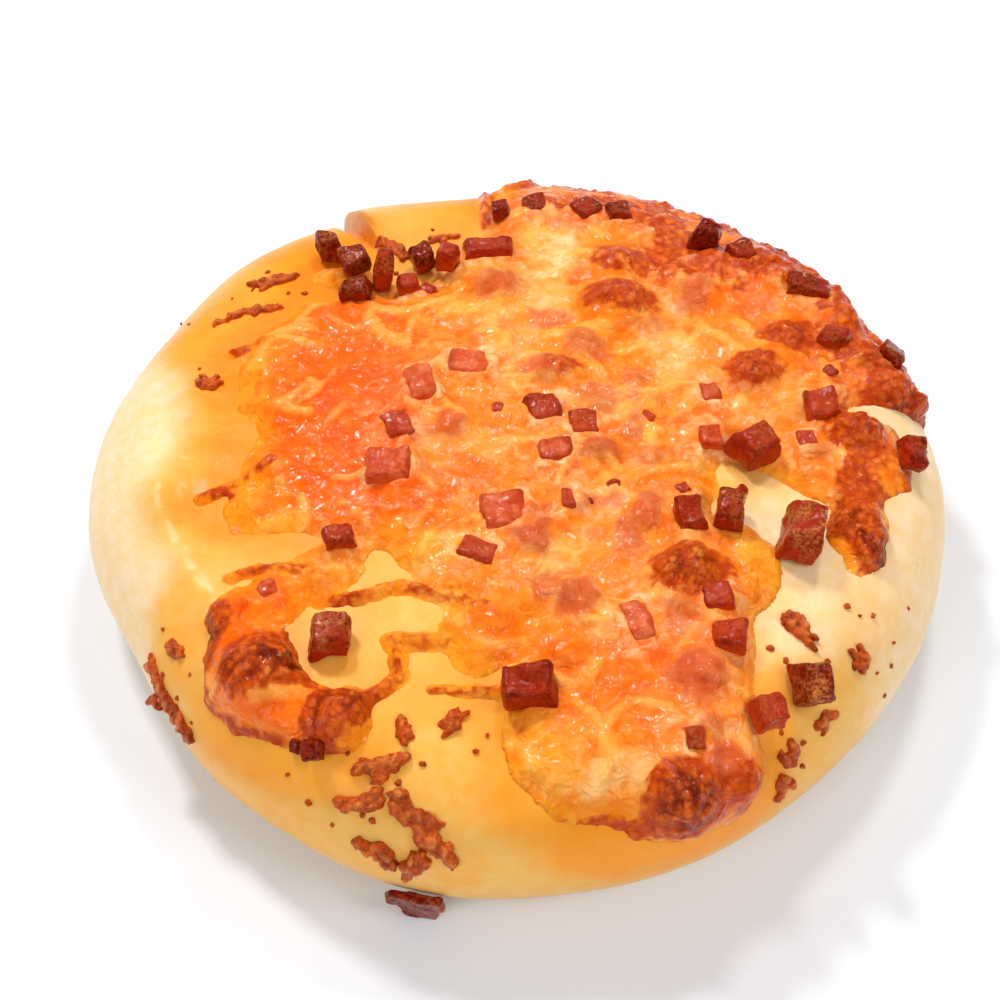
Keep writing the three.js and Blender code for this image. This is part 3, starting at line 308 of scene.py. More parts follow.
def path_distance(x, y, path):
    """The distance to a bent line, and the share of its legs passed at the nearest point."""
    nearest = np.full_like(x, np.inf)
    place = np.zeros_like(x)
    for leg, (start, end) in enumerate(zip(path, path[1:])):
        step_x, step_y = end[0] - start[0], end[1] - start[1]
        leg_squared = max(step_x ** 2 + step_y ** 2, 1e-9)
        share = np.clip(((x - start[0]) * step_x + (y - start[1]) * step_y) / leg_squared, 0, 1)
        distance = np.hypot(x - start[0] - share * step_x, y - start[1] - share * step_y)
        closer = distance < nearest
        nearest = np.where(closer, distance, nearest)
        place = np.where(closer, (leg + share) / (len(path) - 1), place)
    return nearest, place


def join_smooth(a, b, rounding):
    mix = np.maximum(rounding - np.abs(a - b), 0) / rounding
    return np.maximum(a, b) + mix * mix * rounding / 4


def inside_cheese(x, y):
    """How far inside the sheet's edge a place is, about in millimetres."""
    start, end = math.radians(COVER_FROM), math.radians(COVER_TO)
    inside = np.minimum(COVER_REACH - np.hypot(x, y), x * math.sin(end) - y * math.cos(end))
    inside = np.minimum(inside, y * math.cos(start) - x * math.sin(start))
    for pool in POOLS:
        inside = join_smooth(inside, inside_ellipse(x, y, *pool), 2)
    inside = inside + RAGGED_REACH * wander(x, y, **RAGGED)
    for path, wide, _ in SHREDS:
        inside = join_smooth(inside, wide / 2 - path_distance(x, y, path)[0], 1)
    for bare in BARE:
        inside = np.minimum(inside, -inside_ellipse(x, y, *bare))
    return inside + 0.22 * wander(x, y, 2.6, 4.0) + 0.12 * wander(x, y, 1.3, 7.0)


def sheet_thickness(x, y, inside):
    """The solid's own thickness: its body, its swells, the lumps and the melted shreds."""
    body = smooth(inside, 0, EDGE_RUN)
    thick = CHEESE_EDGE + (CHEESE - CHEESE_EDGE) * body + LUMPY_HEIGHT * wander(x, y, **LUMPY) * body
    lump = np.zeros_like(x)
    for middle_x, middle_y, radius, rise in LUMPS:
        off = np.minimum(np.hypot(x - middle_x, y - middle_y) / radius / 1.4, 1)
        lump = np.maximum(lump, rise * np.cos(off * math.pi / 2) ** 2 * 1.15)
    for path, wide, rise in SHREDS:
        off = np.minimum(path_distance(x, y, path)[0] / wide, 1)
        lump = np.maximum(lump, rise * (1 - off * off))
    return np.maximum(thick + lump * smooth(inside, -0.1, 1.5), CHEESE_EDGE)


def spots(x, y, table, wobble=0.25):
    """How strongly a table of soft-edged spots covers each place, 0 to 1."""
    shift_x = wobble * 6 * wander(x, y, 9, 3)
    shift_y = wobble * 6 * wander(x, y, 8, 6)
    ragged = wobble * (0.6 * wander(x, y, 3.4, 9) + 0.4 * wander(x, y, 1.7, 2))
    open_share = np.ones_like(x)
    for middle_x, middle_y, half_x, half_y, amount in table:
        off = np.hypot((x + shift_x - middle_x) / half_x, (y + shift_y - middle_y) / half_y)
        open_share = open_share * (1 - amount * (1 - smooth(off + ragged, 0.45, 1.4)))
    return 1 - open_share


def squares(x, y, table):
    """How strongly a table of soft-cornered, ragged squares covers each place, 0 to 1."""
    shift_x = 0.7 * wander(x, y, 3.4, 3) + 1.3 * wander(x, y, 8, 1)
    shift_y = 0.7 * wander(x, y, 3.1, 6) + 1.3 * wander(x, y, 7, 4)
    cover = np.zeros_like(x)
    for middle_x, middle_y, wide, deep, turn, amount in table:
        cos, sin = math.cos(math.radians(turn)), math.sin(math.radians(turn))
        away_x, away_y = x + shift_x - middle_x, y + shift_y - middle_y
        across = (away_x * cos + away_y * sin) / (0.5 * wide)
        along = (away_y * cos - away_x * sin) / (0.5 * deep)
        off = (across ** 4 + along ** 4) ** 0.25
        cover = np.maximum(cover, amount * (1 - smooth(off, 0.6, 1.25)))
    return cover


def grain(places, size, octaves, seed):
    """Fractal noise about between -1 and 1 at places given in millimetres."""
    shift = Vector((seed * 13.7, seed * 5.3, seed * 9.1))
    values = [noise.fractal(Vector(place) / size + shift, 1.0, 2.0, octaves) for place in places]
    return np.array(values)


# Mesh helpers


def coordinates(bm):
    return np.array([vert.co[:] for vert in bm.verts])


def move_all(bm, places):
    for vert, place in zip(bm.verts, places):
        vert.co = place


def piece_from(bm, name, masks, material, slot, *replaced):
    """Scales the shape from millimetres to metres and makes it a piece with its masks."""
    bmesh.ops.scale(bm, vec=(MM, MM, MM), verts=bm.verts)
    for face in bm.faces:
        face.smooth = True
    mesh = bpy.data.meshes.new(name)
    bm.to_mesh(mesh)
    bm.free()
    for mask_name, values in masks.items():
        mask = mesh.attributes.new(mask_name, "FLOAT", "POINT")
        mask.data.foreach_set("value", np.asarray(values, dtype=np.float32))
    mesh.materials.append(material)
    piece = bpy.data.objects.new(name, mesh)
    bpy.context.scene.collection.objects.link(piece)
    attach(piece, BODY)
    if replaced:
        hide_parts(*replaced)
    return piece


def bent_line(path, shares):
    """Points and headings along a bent line, by share of its length."""
    path = np.array(path, dtype=float)
    legs = np.hypot(*np.diff(path, axis=0).T)
    stops = np.concatenate(((0,), np.cumsum(legs))) / legs.sum()
    x = np.interp(shares, stops, path[:, 0])
    y = np.interp(shares, stops, path[:, 1])
    ahead = np.clip(shares + 0.04, 0, 1)
    behind = np.clip(shares - 0.04, 0, 1)
    run_x = np.interp(ahead, stops, path[:, 0]) - np.interp(behind, stops, path[:, 0])
    run_y = np.interp(ahead, stops, path[:, 1]) - np.interp(behind, stops, path[:, 1])
    return x, y, np.arctan2(run_y, run_x), legs.sum()


# Material helpers


def colour(red, green, blue):
    """A display colour, 0 to 255, as the shader's linear colour."""
    linear = []
    for value in (red, green, blue):
        value = value / 255
        linear.append(value / 12.92 if value <= 0.04045 else ((value + 0.055) / 1.055) ** 2.4)
    return (*linear, 1.0)


class Finish:
    """One material and the nodes that it is made of."""

    def __init__(self, name, roughness, **sockets):
        self.material = bpy.data.materials.new(name)
        self.material.use_nodes = True
        self.tree = self.material.node_tree
        self.shader = self.tree.nodes["Principled BSDF"]
        self.shader.inputs["Roughness"].default_value = roughness
        for socket, value in sockets.items():
            self.shader.inputs[socket.replace("_", " ")].default_value = value
        self.place = self.node("ShaderNodeTexCoord").outputs["Object"]

    def node(self, kind, **settings):
        node = self.tree.nodes.new(kind)
        for setting, value in settings.items():
            setattr(node, setting, value)
        return node

    def feed(self, socket, value):
        if hasattr(value, "is_linked"):
            self.tree.links.new(value, socket)
        else:
            socket.default_value = value

    def mask(self, name):
        return self.node("ShaderNodeAttribute", attribute_name=name).outputs["Fac"]

    def speckle(self, size_mm, detail=4.0, roughness=0.55, distortion=0.0):
        node = self.node("ShaderNodeTexNoise")
        self.feed(node.inputs["Vector"], self.place)
        node.inputs["Scale"].default_value = 1 / (size_mm * MM)
        node.inputs["Detail"].default_value = detail
        node.inputs["Roughness"].default_value = roughness
        node.inputs["Distortion"].default_value = distortion
        return node.outputs["Fac"]

    def cells(self, size_mm):
        node = self.node("ShaderNodeTexVoronoi")
        self.feed(node.inputs["Vector"], self.place)
        node.inputs["Scale"].default_value = 1 / (size_mm * MM)
        return node.outputs["Distance"]

    def stretch(self, value, low, high, to_low=0.0, to_high=1.0):
        node = self.node("ShaderNodeMapRange", interpolation_type="SMOOTHSTEP")
        for socket, number in zip(node.inputs, (value, low, high, to_low, to_high)):
            self.feed(socket, number)
        return node.outputs["Result"]

    def math(self, operation, first, second=0.0):
        node = self.node("ShaderNodeMath", operation=operation)
        self.feed(node.inputs[0], first)
        self.feed(node.inputs[1], second)
        return node.outputs[0]

    def blend(self, share, first, second):
        node = self.node("ShaderNodeMix", data_type="RGBA")
        self.feed(node.inputs[0], share)
        self.feed(node.inputs[6], first)
        self.feed(node.inputs[7], second)
        return node.outputs[2]

    def paint(self, value):
        self.feed(self.shader.inputs["Base Color"], value)

    def relief(self, *layers):
        """Bump layers, each a height and its depth in millimetres; the coat follows the first."""
        normal = None
        for height, depth_mm in layers:
            node = self.node("ShaderNodeBump")
            node.inputs["Distance"].default_value = depth_mm * MM
            self.feed(node.inputs["Height"], height)
            if normal is not None:
                self.feed(node.inputs["Normal"], normal)
            if normal is None:
                self.feed(self.shader.inputs["Coat Normal"], node.outputs["Normal"])
            normal = node.outputs["Normal"]
        self.feed(self.shader.inputs["Normal"], normal)


def softened(weight, scale_mm):
    """Subsurface settings: light goes this far into the food, red the furthest."""
    return {
        "Subsurface_Weight": weight,
        "Subsurface_Radius": (1.0, 0.45, 0.2),
        "Subsurface_Scale": scale_mm * MM,
    }


def crust_finish(settings):
    finish = Finish(
        "golden_crust", 0.38, Specular_IOR_Level=0.3, Specular_Tint=colour(255, 214, 156),
        Coat_Weight=0.03, **softened(0.1, 1.5),
    )
    mottle = finish.stretch(finish.speckle(9, 5), 0.35, 0.7)
    fine = finish.stretch(finish.speckle(2.2, 6), 0.35, 0.7)
    cream = finish.blend(fine, colour(246, 211, 154), colour(250, 221, 184))
    cream = finish.blend(finish.math("MULTIPLY", mottle, 0.3), cream, colour(246, 208, 126))
    gold = finish.blend(mottle, tuple(settings.crust_colour), colour(240, 187, 98))
    gold = finish.blend(finish.math("MULTIPLY", fine, 0.35), gold, colour(246, 204, 124))
    washed = finish.math("ADD", finish.mask("golden"), finish.math("MULTIPLY", mottle, 0.12))
    tone = finish.blend(finish.stretch(washed, 0.08, 1.0), cream, gold)
    tone = finish.blend(finish.mask("yolk"), tone, finish.blend(mottle, colour(250, 142, 8), colour(252, 158, 20)))
    tone = finish.blend(finish.mask("soaked"), tone, colour(250, 122, 8))
    toasted = finish.math("ADD", finish.mask("toasted"), finish.math("MULTIPLY", fine, 0.15))
    tone = finish.blend(finish.stretch(toasted, 0.15, 1.0), tone, colour(176, 96, 28))
    # painted shade: the wall darkens to olive towards its foot
    tone = finish.blend(finish.mask("shade"), tone, colour(196, 158, 76))
    # flour dusting and painted sheen: pale flecks on the left of the rim
    flour = finish.stretch(finish.speckle(0.8, 3), 0.55, 0.7)
    tone = finish.blend(finish.math("MULTIPLY", finish.mask("flour_and_sheen"), flour), tone, colour(255, 240, 212))
    fleck = finish.stretch(finish.cells(3.4), 0.1, 0.05)
    fleck = finish.math("MULTIPLY", fleck, finish.stretch(finish.speckle(14, 2), 0.56, 0.66))
    tone = finish.blend(finish.math("MULTIPLY", fleck, 0.4), tone, colour(205, 140, 60))
    finish.paint(tone)
    finish.relief((finish.speckle(5.0, 2), 0.2), (finish.speckle(0.6, 3), 0.03))
    return finish.material


def cheese_finish(settings):
    finish = Finish(
        "melted_cheese", 0.2, Specular_IOR_Level=0.12, Specular_Tint=colour(255, 170, 90),
        Coat_Weight=0.38, Coat_Roughness=0.04, Coat_IOR=1.4, **softened(0.1, 1.0),
    )
    swirl = finish.stretch(finish.speckle(6.5, 5, 0.6, 1.6), 0.4, 0.6)
    streak = finish.stretch(finish.speckle(2.6, 6, 0.6, 0.8), 0.38, 0.62)
    fine = finish.stretch(finish.speckle(0.8, 5, 0.62, 0.6), 0.34, 0.68)
    painted_relief_shading = finish.mask("painted_relief_shading")
    tint = finish.mask("tint")
    body = finish.blend(swirl, tuple(settings.cheese_colour), colour(250, 124, 10))
    body = finish.blend(finish.math("MULTIPLY", tint, 0.65), body, colour(250, 152, 34))
    body = finish.blend(finish.math("MULTIPLY", streak, 0.4), body, colour(250, 158, 48))
    film = finish.blend(streak, colour(244, 170, 74), colour(250, 204, 130))
    film = finish.blend(finish.math("MULTIPLY", swirl, 0.4), film, colour(255, 170, 56))
    tone = finish.blend(finish.mask("pale"), body, film)
    milk = finish.math("MULTIPLY", finish.stretch(finish.mask("pale"), 0.45, 0.85), finish.stretch(swirl, 0.9, 0.2))
    tone = finish.blend(finish.math("MULTIPLY", milk, 0.6), tone, colour(248, 214, 156))
    yolk = finish.blend(streak, colour(252, 150, 12), colour(254, 178, 40))
    tone = finish.blend(finish.mask("yellow"), tone, yolk)
    oil = finish.blend(tint, colour(244, 74, 0), colour(252, 102, 0))
    oil = finish.blend(finish.math("MULTIPLY", streak, 0.4), oil, colour(252, 116, 10))
    tone = finish.blend(finish.mask("oily"), tone, oil)
    tone = finish.blend(finish.mask("thin"), tone, finish.blend(streak, colour(250, 128, 8), colour(252, 150, 20)))
    # painted shade in the hollows of the relief and painted highlight on its crests
    painted_hollow_shade = finish.math("SUBTRACT", 0.5, painted_relief_shading)
    tone = finish.blend(finish.stretch(painted_hollow_shade, 0.0, 0.5, 0.0, 0.4), tone, colour(226, 70, 0))
    tone = finish.blend(finish.stretch(painted_relief_shading, 0.5, 1.0, 0.0, 0.45), tone, colour(255, 196, 92))
    veil = finish.math("MULTIPLY", finish.mask("veil"), finish.stretch(streak, 0.0, 1.0, 0.35, 1.0))
    tone = finish.blend(veil, tone, finish.blend(streak, colour(236, 138, 74), colour(248, 200, 148)))
    blush = finish.blend(finish.speckle(1.6, 3, 0.5), colour(182, 44, 16), colour(224, 104, 58))
    tone = finish.blend(finish.mask("ham_below"), tone, blush)
    nub = finish.math("ADD", finish.math("MULTIPLY", finish.stretch(finish.cells(1.3), 0.7, 0.1), 0.65),
                      finish.math("MULTIPLY", finish.stretch(finish.speckle(1.6, 3), 0.36, 0.66), 0.35))
    rough = finish.math("SUBTRACT", finish.math("MULTIPLY", swirl, 0.16), finish.math("MULTIPLY", nub, 0.24))
    grilled = finish.math("ADD", finish.mask("browned"), finish.math("ADD", rough, 0.08))
    toast = finish.blend(nub, colour(186, 56, 4), colour(222, 98, 16))
    tone = finish.blend(finish.stretch(grilled, 0.3, 0.62), tone, toast)
    char = finish.blend(nub, colour(104, 22, 2), colour(176, 62, 10))
    tone = finish.blend(finish.stretch(grilled, 0.84, 1.24), tone, char)
    # painted highlight: lighter tan on the tops of browned nodules
    painted_nodule_highlight = finish.math("MULTIPLY", finish.stretch(painted_relief_shading, 0.72, 1.0), finish.stretch(grilled, 0.5, 0.8))
    painted_nodule_highlight = finish.math("MULTIPLY", painted_nodule_highlight, finish.stretch(nub, 0.3, 0.8, 0.0, 0.7))
    tone = finish.blend(painted_nodule_highlight, tone, colour(226, 128, 52))
    finish.paint(tone)
    finish.feed(finish.shader.inputs["Roughness"], finish.stretch(fine, 0, 1, 0.12, 0.26))
    crisp = finish.math("MULTIPLY", nub, finish.stretch(grilled, 0.25, 0.8, 0.0, 0.8))
    finish.relief(
        (finish.math("ADD", finish.speckle(2.0, 2, 0.5, 0.9), crisp), 0.5),
        (finish.speckle(0.8, 3, 0.55, 0.4), 0.12),
    )
    return finish.material


def shred_finish(settings):
    finish = Finish(
        "baked_cheese", 0.3, Specular_IOR_Level=0.3, Specular_Tint=colour(255, 180, 120), Coat_Weight=0.2,
        Coat_Roughness=0.08, **softened(0.1, 0.8),
    )
    fine = finish.stretch(finish.speckle(0.7, 5), 0.35, 0.68)
    crisp = finish.blend(fine, colour(190, 66, 10), colour(222, 102, 28))
    dark = finish.blend(fine, colour(128, 34, 4), colour(176, 62, 12))
    tone = finish.blend(finish.mask("browned"), crisp, dark)
    # painted highlight: the shreds' tops lighter
    tone = finish.blend(finish.mask("painted_relief_shading"), tone, colour(230, 138, 62))
    finish.paint(tone)
    finish.relief((finish.speckle(0.7, 3, 0.55, 1.0), 0.3),)
    return finish.material


def ham_finish(settings):
    finish = Finish(
        "diced_ham", 0.24, Specular_IOR_Level=0.15, Specular_Tint=colour(255, 120, 80),
        Coat_Weight=0.22, Coat_Roughness=0.05, Coat_IOR=1.4, **softened(0.12, 1.0),
    )
    marble = finish.stretch(finish.speckle(2.4, 4, 0.6, 1.2), 0.38, 0.66)
    fine = finish.stretch(finish.speckle(0.5, 4), 0.35, 0.68)
    red = finish.blend(marble, tuple(settings.ham_colour), colour(202, 54, 8))
    pink = finish.blend(marble, colour(208, 78, 34), colour(228, 120, 76))
    # the pale mask also carries painted light: dice are paler towards their tops and less pale at corners
    tone = finish.blend(finish.mask("pale"), red, pink)
    # cheese glaze and painted glow: orange on the lower part of dice sunk in cheese
    tone = finish.blend(finish.mask("glaze_and_glow"), tone, colour(236, 104, 26))
    brown = finish.blend(fine, colour(82, 10, 2), colour(142, 34, 8))
    tone = finish.blend(finish.mask("browned"), tone, brown)
    crust = finish.blend(fine, colour(126, 40, 12), colour(208, 126, 62))
    tone = finish.blend(finish.mask("crusted"), tone, crust)
    finish.paint(tone)
    finish.relief((finish.speckle(1.3, 2, 0.5), 0.26), (finish.speckle(0.4, 3), 0.08))
    return finish.material


# Settings


class PizzaSettings(bpy.types.PropertyGroup):
    crust_colour: bpy.props.FloatVectorProperty(
        name="Crust", description="Golden colour of the washed crust", subtype="COLOR", size=4,
        min=0, max=1, default=colour(244, 176, 72),
    )
    cheese_colour: bpy.props.FloatVectorProperty(
        name="Cheese", description="Body colour of the melted cheese", subtype="COLOR", size=4,
        min=0, max=1, default=colour(236, 90, 4),
    )
    ham_colour: bpy.props.FloatVectorProperty(
        name="Ham", description="Lean colour of the diced ham", subtype="COLOR", size=4,
        min=0, max=1, default=colour(172, 26, 2),
    )
    crust_columns: bpy.props.IntProperty(
        name="Crust columns", description="Faces around the bun", default=300, min=96, max=600,
    )
    sheet_cell: bpy.props.FloatProperty(
        name="Sheet cell", description="Size of a face of the melted sheet, in millimetres",
        default=0.42, min=0.35, max=2.0,
    )
    strands: bpy.props.IntProperty(
        name="Strands", description="Shreds of grated cheese that melted into the sheet", default=190, min=0, max=900,
    )
    strand_rise: bpy.props.FloatProperty(
        name="Strand rise", description="How far a melted shred stands out, in millimetres",
        default=0.62, min=0, max=1.2,
    )
    ham_rounding: bpy.props.FloatProperty(
        name="Ham rounding", description="Width of the softened edges of the diced ham, in millimetres",
        default=0.34, min=0.05, max=1.0,
    )
    ham_grain: bpy.props.FloatProperty(
        name="Ham grain", description="Depth of the torn grain on the diced ham, in millimetres",
        default=0.11, min=0, max=0.5,
    )


def settings_now():
    return bpy.context.scene.ham_pizza


# Operators


class PIZZA_OT_crust(bpy.types.Operator):
    """The bun, with its golden band beside the cheese, its creamy rim and the split at the back"""

    bl_idname = "pizza.crust"
    bl_label = "Crust"

    def execute(self, context):
        settings = settings_now()
        rim = 66.3  # unrolled distances: the rim, and the foot and the underside's middle beyond it
        foot = rim + 18
        middle = foot + 52
        stops = np.concatenate((
            np.linspace(0, 46, 40), np.linspace(46.9, rim, 24), np.linspace(rim + 1.2, foot, 15),
            (foot + 4, foot + 20, foot + 40, middle),
        ))
        bm = bmesh.new()
        profile = [bm.verts.new((stop, 0, 0)) for stop in stops]
        edges = [bm.edges.new(pair) for pair in zip(profile, profile[1:])]
        bmesh.ops.spin(
            bm, geom=profile + edges, cent=(0, 0, 0), axis=(0, 0, 1), angle=2 * math.pi,
            steps=settings.crust_columns, use_merge=True,
        )
        bmesh.ops.remove_doubles(bm, verts=bm.verts, dist=1e-4)
        flat_places = coordinates(bm)
        distance = np.hypot(flat_places[:, 0], flat_places[:, 1])
        degrees = np.degrees(np.arctan2(flat_places[:, 1], flat_places[:, 0])) % 360
        degrees = crowded(degrees)
        heading = np.radians(degrees)
        rim_distance = rim_radius(degrees) - SHOULDER + SHOULDER * math.pi / 2
        reach = np.minimum(distance, rim) * np.where(distance > 46, 1 + (rim_distance / rim - 1) * smooth(distance, 46, rim), 1)
        x, y = reach * np.cos(heading), reach * np.sin(heading)
        top = on_skin(x, y, 0)
        normal_grain = grain(top, 14, 3, 1) * 0.22 + grain(top, 4, 3, 2) * 0.06
        torn = np.exp(-(((degrees - 117.6) / 1.6) ** 2)) * smooth(distance, 44, 52)
        normal_grain = normal_grain + torn * grain(top, 1.6, 3, 3) * 0.35
        places = on_skin(x, y, normal_grain)
        share = np.clip((distance - rim) / (foot - rim), 0, 1)
        wall = on_wall(degrees, share, normal_grain * (1 - share))
        wall[:, 2] = np.maximum(wall[:, 2], 0)
        beyond = np.clip((distance - foot) / (middle - foot), 0, 1)
        wall[:, :2] *= (1 - beyond)[:, None]
        places = np.where((distance > rim)[:, None], wall, places)
        move_all(bm, places)
        bmesh.ops.remove_doubles(bm, verts=[v for v in bm.verts if v.co.z < 0.01 and v.co.xy.length < 0.5], dist=0.4)
        bmesh.ops.recalc_face_normals(bm, faces=bm.faces)
        masks = self.masks(coordinates(bm))
        piece_from(bm, "golden_bun", masks, crust_finish(settings), "bread", "bread")
        return {"FINISHED"}

    def masks(self, places):
        """Where the crust is golden, egg-yellow, toasted, dusted with flour and painted sheen, and where painted
        olive shade darkens the wall towards its foot.
        """
        distance = np.hypot(places[:, 0], places[:, 1])
        degrees = np.degrees(np.arctan2(places[:, 1], places[:, 0])) % 360
        flat = rim_radius(degrees) - SHOULDER
        bend = np.arcsin(np.clip((distance - flat) / SHOULDER, 0, 1))
        bend = np.where(places[:, 2] < BUN_HEIGHT - SHOULDER, math.pi / 2, bend)
        reach = np.where(distance > flat, flat + SHOULDER * bend, distance) / np.maximum(distance, 1e-6)
        x, y = places[:, 0] * reach, places[:, 1] * reach
        outside = -inside_cheese(x, y) + 1.5 * wander(x, y, 16, 2)
        below = np.clip((BUN_HEIGHT - SHOULDER - places[:, 2]) / (BUN_HEIGHT - SHOULDER), 0, 1)
        left = smooth(-places[:, 0], 20, 52)
        front = smooth(-places[:, 1], 18, 50)
        band = 1 - smooth(outside, 3 + 5 * front, 11.5 + 8.5 * front)
        behind = smooth(places[:, 1], 10, 32) * smooth(-places[:, 0], -6, 10)
        golden = np.clip(band * 0.9 + 0.62 * front * (1 - 0.5 * left) + 0.8 * behind, 0, 1)
        right_patch = spots(x, y, ((35, -22, 9, 15, 0.9), (54, 0, 8, 12, 0.9), (52, -26, 9, 18, 0.6)), 0.1)
        golden = golden * (1 - 0.9 * right_patch) * (1 - 0.6 * smooth(places[:, 0], 36, 56))
        back_left = smooth(places[:, 1] - places[:, 0], 40, 66)
        beside = smooth(-places[:, 0], 6, 32)
        yolk = 0.12 + 0.88 * np.maximum(beside, back_left) * smooth(places[:, 1], -30, -10)
        yolk = yolk * (1 - smooth(outside, 2.5, 11 + 9 * behind)) * (1 - right_patch)
        yolk = np.maximum(yolk, 0.72 * front * (1 - smooth(outside, 2, 7)))
        lip = np.exp(-(((degrees - 115.8) / 0.8) ** 2)) * smooth(distance, 44, 50) * (1 - below)
        cut = np.exp(-(((degrees - 117.0) / 0.7) ** 2)) * smooth(distance, 42, 48)
        toasted = np.clip(0.6 * lip + 0.4 * cut, 0, 1)
        toasted = np.maximum(toasted, 0.15 * (1 - smooth(outside, 0.1, 1.6)))
        # flour dusting and painted sheen, on the left of the rim
        flour_and_sheen = spots(x, y, ((-56, 0, 7, 15, 0.35), (-52, -22, 6, 9, 0.25)), 0.1)
        return {
            "golden": golden, "yolk": yolk * (1 - smooth(below, 0, 0.6)), "toasted": toasted, "flour_and_sheen": flour_and_sheen,
            "soaked": (
                0.8 * (1 - smooth(outside, 0.5, 4.5)) * np.maximum(left, back_left)
                * smooth(places[:, 1], -24, -12) * (1 - below)
            ),
            # painted shade, growing towards the foot of the wall
            "shade": 0.55 * smooth(below, 0.35, 0.95),
        }


def crowded(degrees):
    """Turns the columns of the bun so that more of them stand at the split."""
    table = np.linspace(0, 360, 3601)
    weight = 1 + 7 * np.exp(-(((table - 117.4) / 3.2) ** 2))
    gathered = np.concatenate(((0,), np.cumsum(weight[1:] + weight[:-1])))
    return np.interp(degrees, gathered / gathered[-1] * 360, table)


class PIZZA_OT_cheese(bpy.types.Operator):
    """The melted sheet, with the strands that melted into it, its lumps and its browned bumps"""

    bl_idname = "pizza.cheese"
    bl_label = "Melted cheese"

    def execute(self, context):
        settings = settings_now()
        bm, inside = self.blank(settings.sheet_cell)
        extruded = bmesh.ops.extrude_face_region(bm, geom=bm.faces[:])["geom"]
        upper = {item for item in extruded if isinstance(item, bmesh.types.BMVert)}
        bm.verts.index_update()
        raised = np.array([vert in upper for vert in bm.verts])
        bmesh.ops.translate(bm, vec=(0, 0, 1), verts=list(upper))
        bmesh.ops.recalc_face_normals(bm, faces=bm.faces)
        places = coordinates(bm)
        x, y = places[:, 0], places[:, 1]
        inside = inside_cheese(x, y)
        lift = np.full_like(x, -SHEET_SINK)
        top_x, top_y, top_inside = x[raised], y[raised], inside[raised]
        masks = self.masks(top_x, top_y, top_inside)
        relief, masks["tint"] = self.strands(top_x, top_y, masks, settings)
        lift[raised] = self.heights(top_x, top_y, top_inside, masks, relief)
        move_all(bm, on_skin(x, y, lift))
        full = {}
        for name, values in masks.items():
            full[name] = np.zeros(len(x))
            full[name][raised] = values
        piece_from(bm, "melted_cheese", full, cheese_finish(settings), "cheese", "cheese")
        return {"FINISHED"}

    def blank(self, cell):
        """A flat grid cut to the sheet's outline."""
        bm = bmesh.new()
        count = int(2 * FIELD_HALF / cell)
        bmesh.ops.create_grid(bm, x_segments=count, y_segments=count, size=FIELD_HALF)
        places = coordinates(bm)
        x, y = places[:, 0].copy(), places[:, 1].copy()
        inside = inside_cheese(x, y)
        near = (inside > -0.75 * cell) & (inside < 0.3 * cell)
        step = 0.05
        for _ in range(3):
            near_x, near_y = x[near], y[near]
            value = inside_cheese(near_x, near_y)
            slope_x = (inside_cheese(near_x + step, near_y) - inside_cheese(near_x - step, near_y)) / (2 * step)
            slope_y = (inside_cheese(near_x, near_y + step) - inside_cheese(near_x, near_y - step)) / (2 * step)
            steep = np.maximum(slope_x ** 2 + slope_y ** 2, 0.2)
            x[near] -= np.clip(value * slope_x / steep, -0.5 * cell, 0.5 * cell)
            y[near] -= np.clip(value * slope_y / steep, -0.5 * cell, 0.5 * cell)
        places[:, 0], places[:, 1] = x, y
        move_all(bm, places)
        away = [vert for vert, outside in zip(bm.verts, inside <= -0.75 * cell) if outside]
        bmesh.ops.delete(bm, geom=away, context="VERTS")
        self.drop_islands(bm)
        return bm, inside

    def drop_islands(self, bm):
        """Keeps only the largest patch of faces, and removes points left pinched or without faces."""
        seen = set()
        patches = []
        for first in bm.faces:
            if first in seen:
                continue
            seen.add(first)
            patch = [first]
            for face in patch:
                for edge in face.edges:
                    for other in edge.link_faces:
                        if other not in seen:
                            seen.add(other)
                            patch.append(other)
            patches.append(patch)
        patches.sort(key=len)
        stray = [face for patch in patches[:-1] for face in patch]
        bmesh.ops.delete(bm, geom=stray, context="FACES")
        pinched = [v for v in bm.verts if not v.link_faces or sum(e.is_boundary for e in v.link_edges) > 2]
        bmesh.ops.delete(bm, geom=pinched, context="VERTS")

    def masks(self, x, y, inside):
        ham_below = squares(x, y, HAM_BELOW)
        return {
            "veil": 2.0 * ham_below * (1 - ham_below) * (0.7 + 0.5 * wander(x, y, 5, 9)),
            "oily": np.clip(spots(x, y, OILY) * 1.15, 0, 1),
            "pale": spots(x, y, PALE) * (0.8 + 0.2 * wander(x, y, 4, 5)),
            "yellow": np.maximum(spots(x, y, YELLOW), 0.5 * (1 - smooth(inside, 0.2, 3.2))),
            "ham_below": ham_below,
            "thin": (1 - smooth(inside, 0.4, 3.6)) * smooth(-x, 18, 30) * 0.9,
            "browned": self.browning(x, y, inside),
        }

    def browning(self, x, y, inside):
        """Brown bumps, the baked back rim, and the crisp edge of the sheet on its far side."""
        browned = spots(x, y, BROWNED, 0.12)
        rim = smooth(np.hypot(x, y), 48, 57) * smooth(x + y, 0, 40)
        patches = 0.5 + 0.5 * wander(x, y, 7, 8)
        edge = (1 - smooth(inside, 0.2, 1.8)) * smooth(0.6 * x - 0.2 * y, 5, 30)
        for path, wide, _ in SHREDS:
            beside = path_distance(x, y, path)[0] / wide
            browned = np.maximum(browned, (0.14 + 0.4 * patches) * (1 - smooth(beside, 0.2, 0.6)))
        island = smooth(-x, 16, 24) * smooth(-y, 24, 34) * (1 - smooth(inside, 0.5, 3.6)) * (0.5 + 0.5 * patches)
        browned = np.maximum(browned, rim * (0.38 + 0.62 * patches))
        return np.clip(browned + 0.22 * edge + 0.72 * island, 0, 1.1)

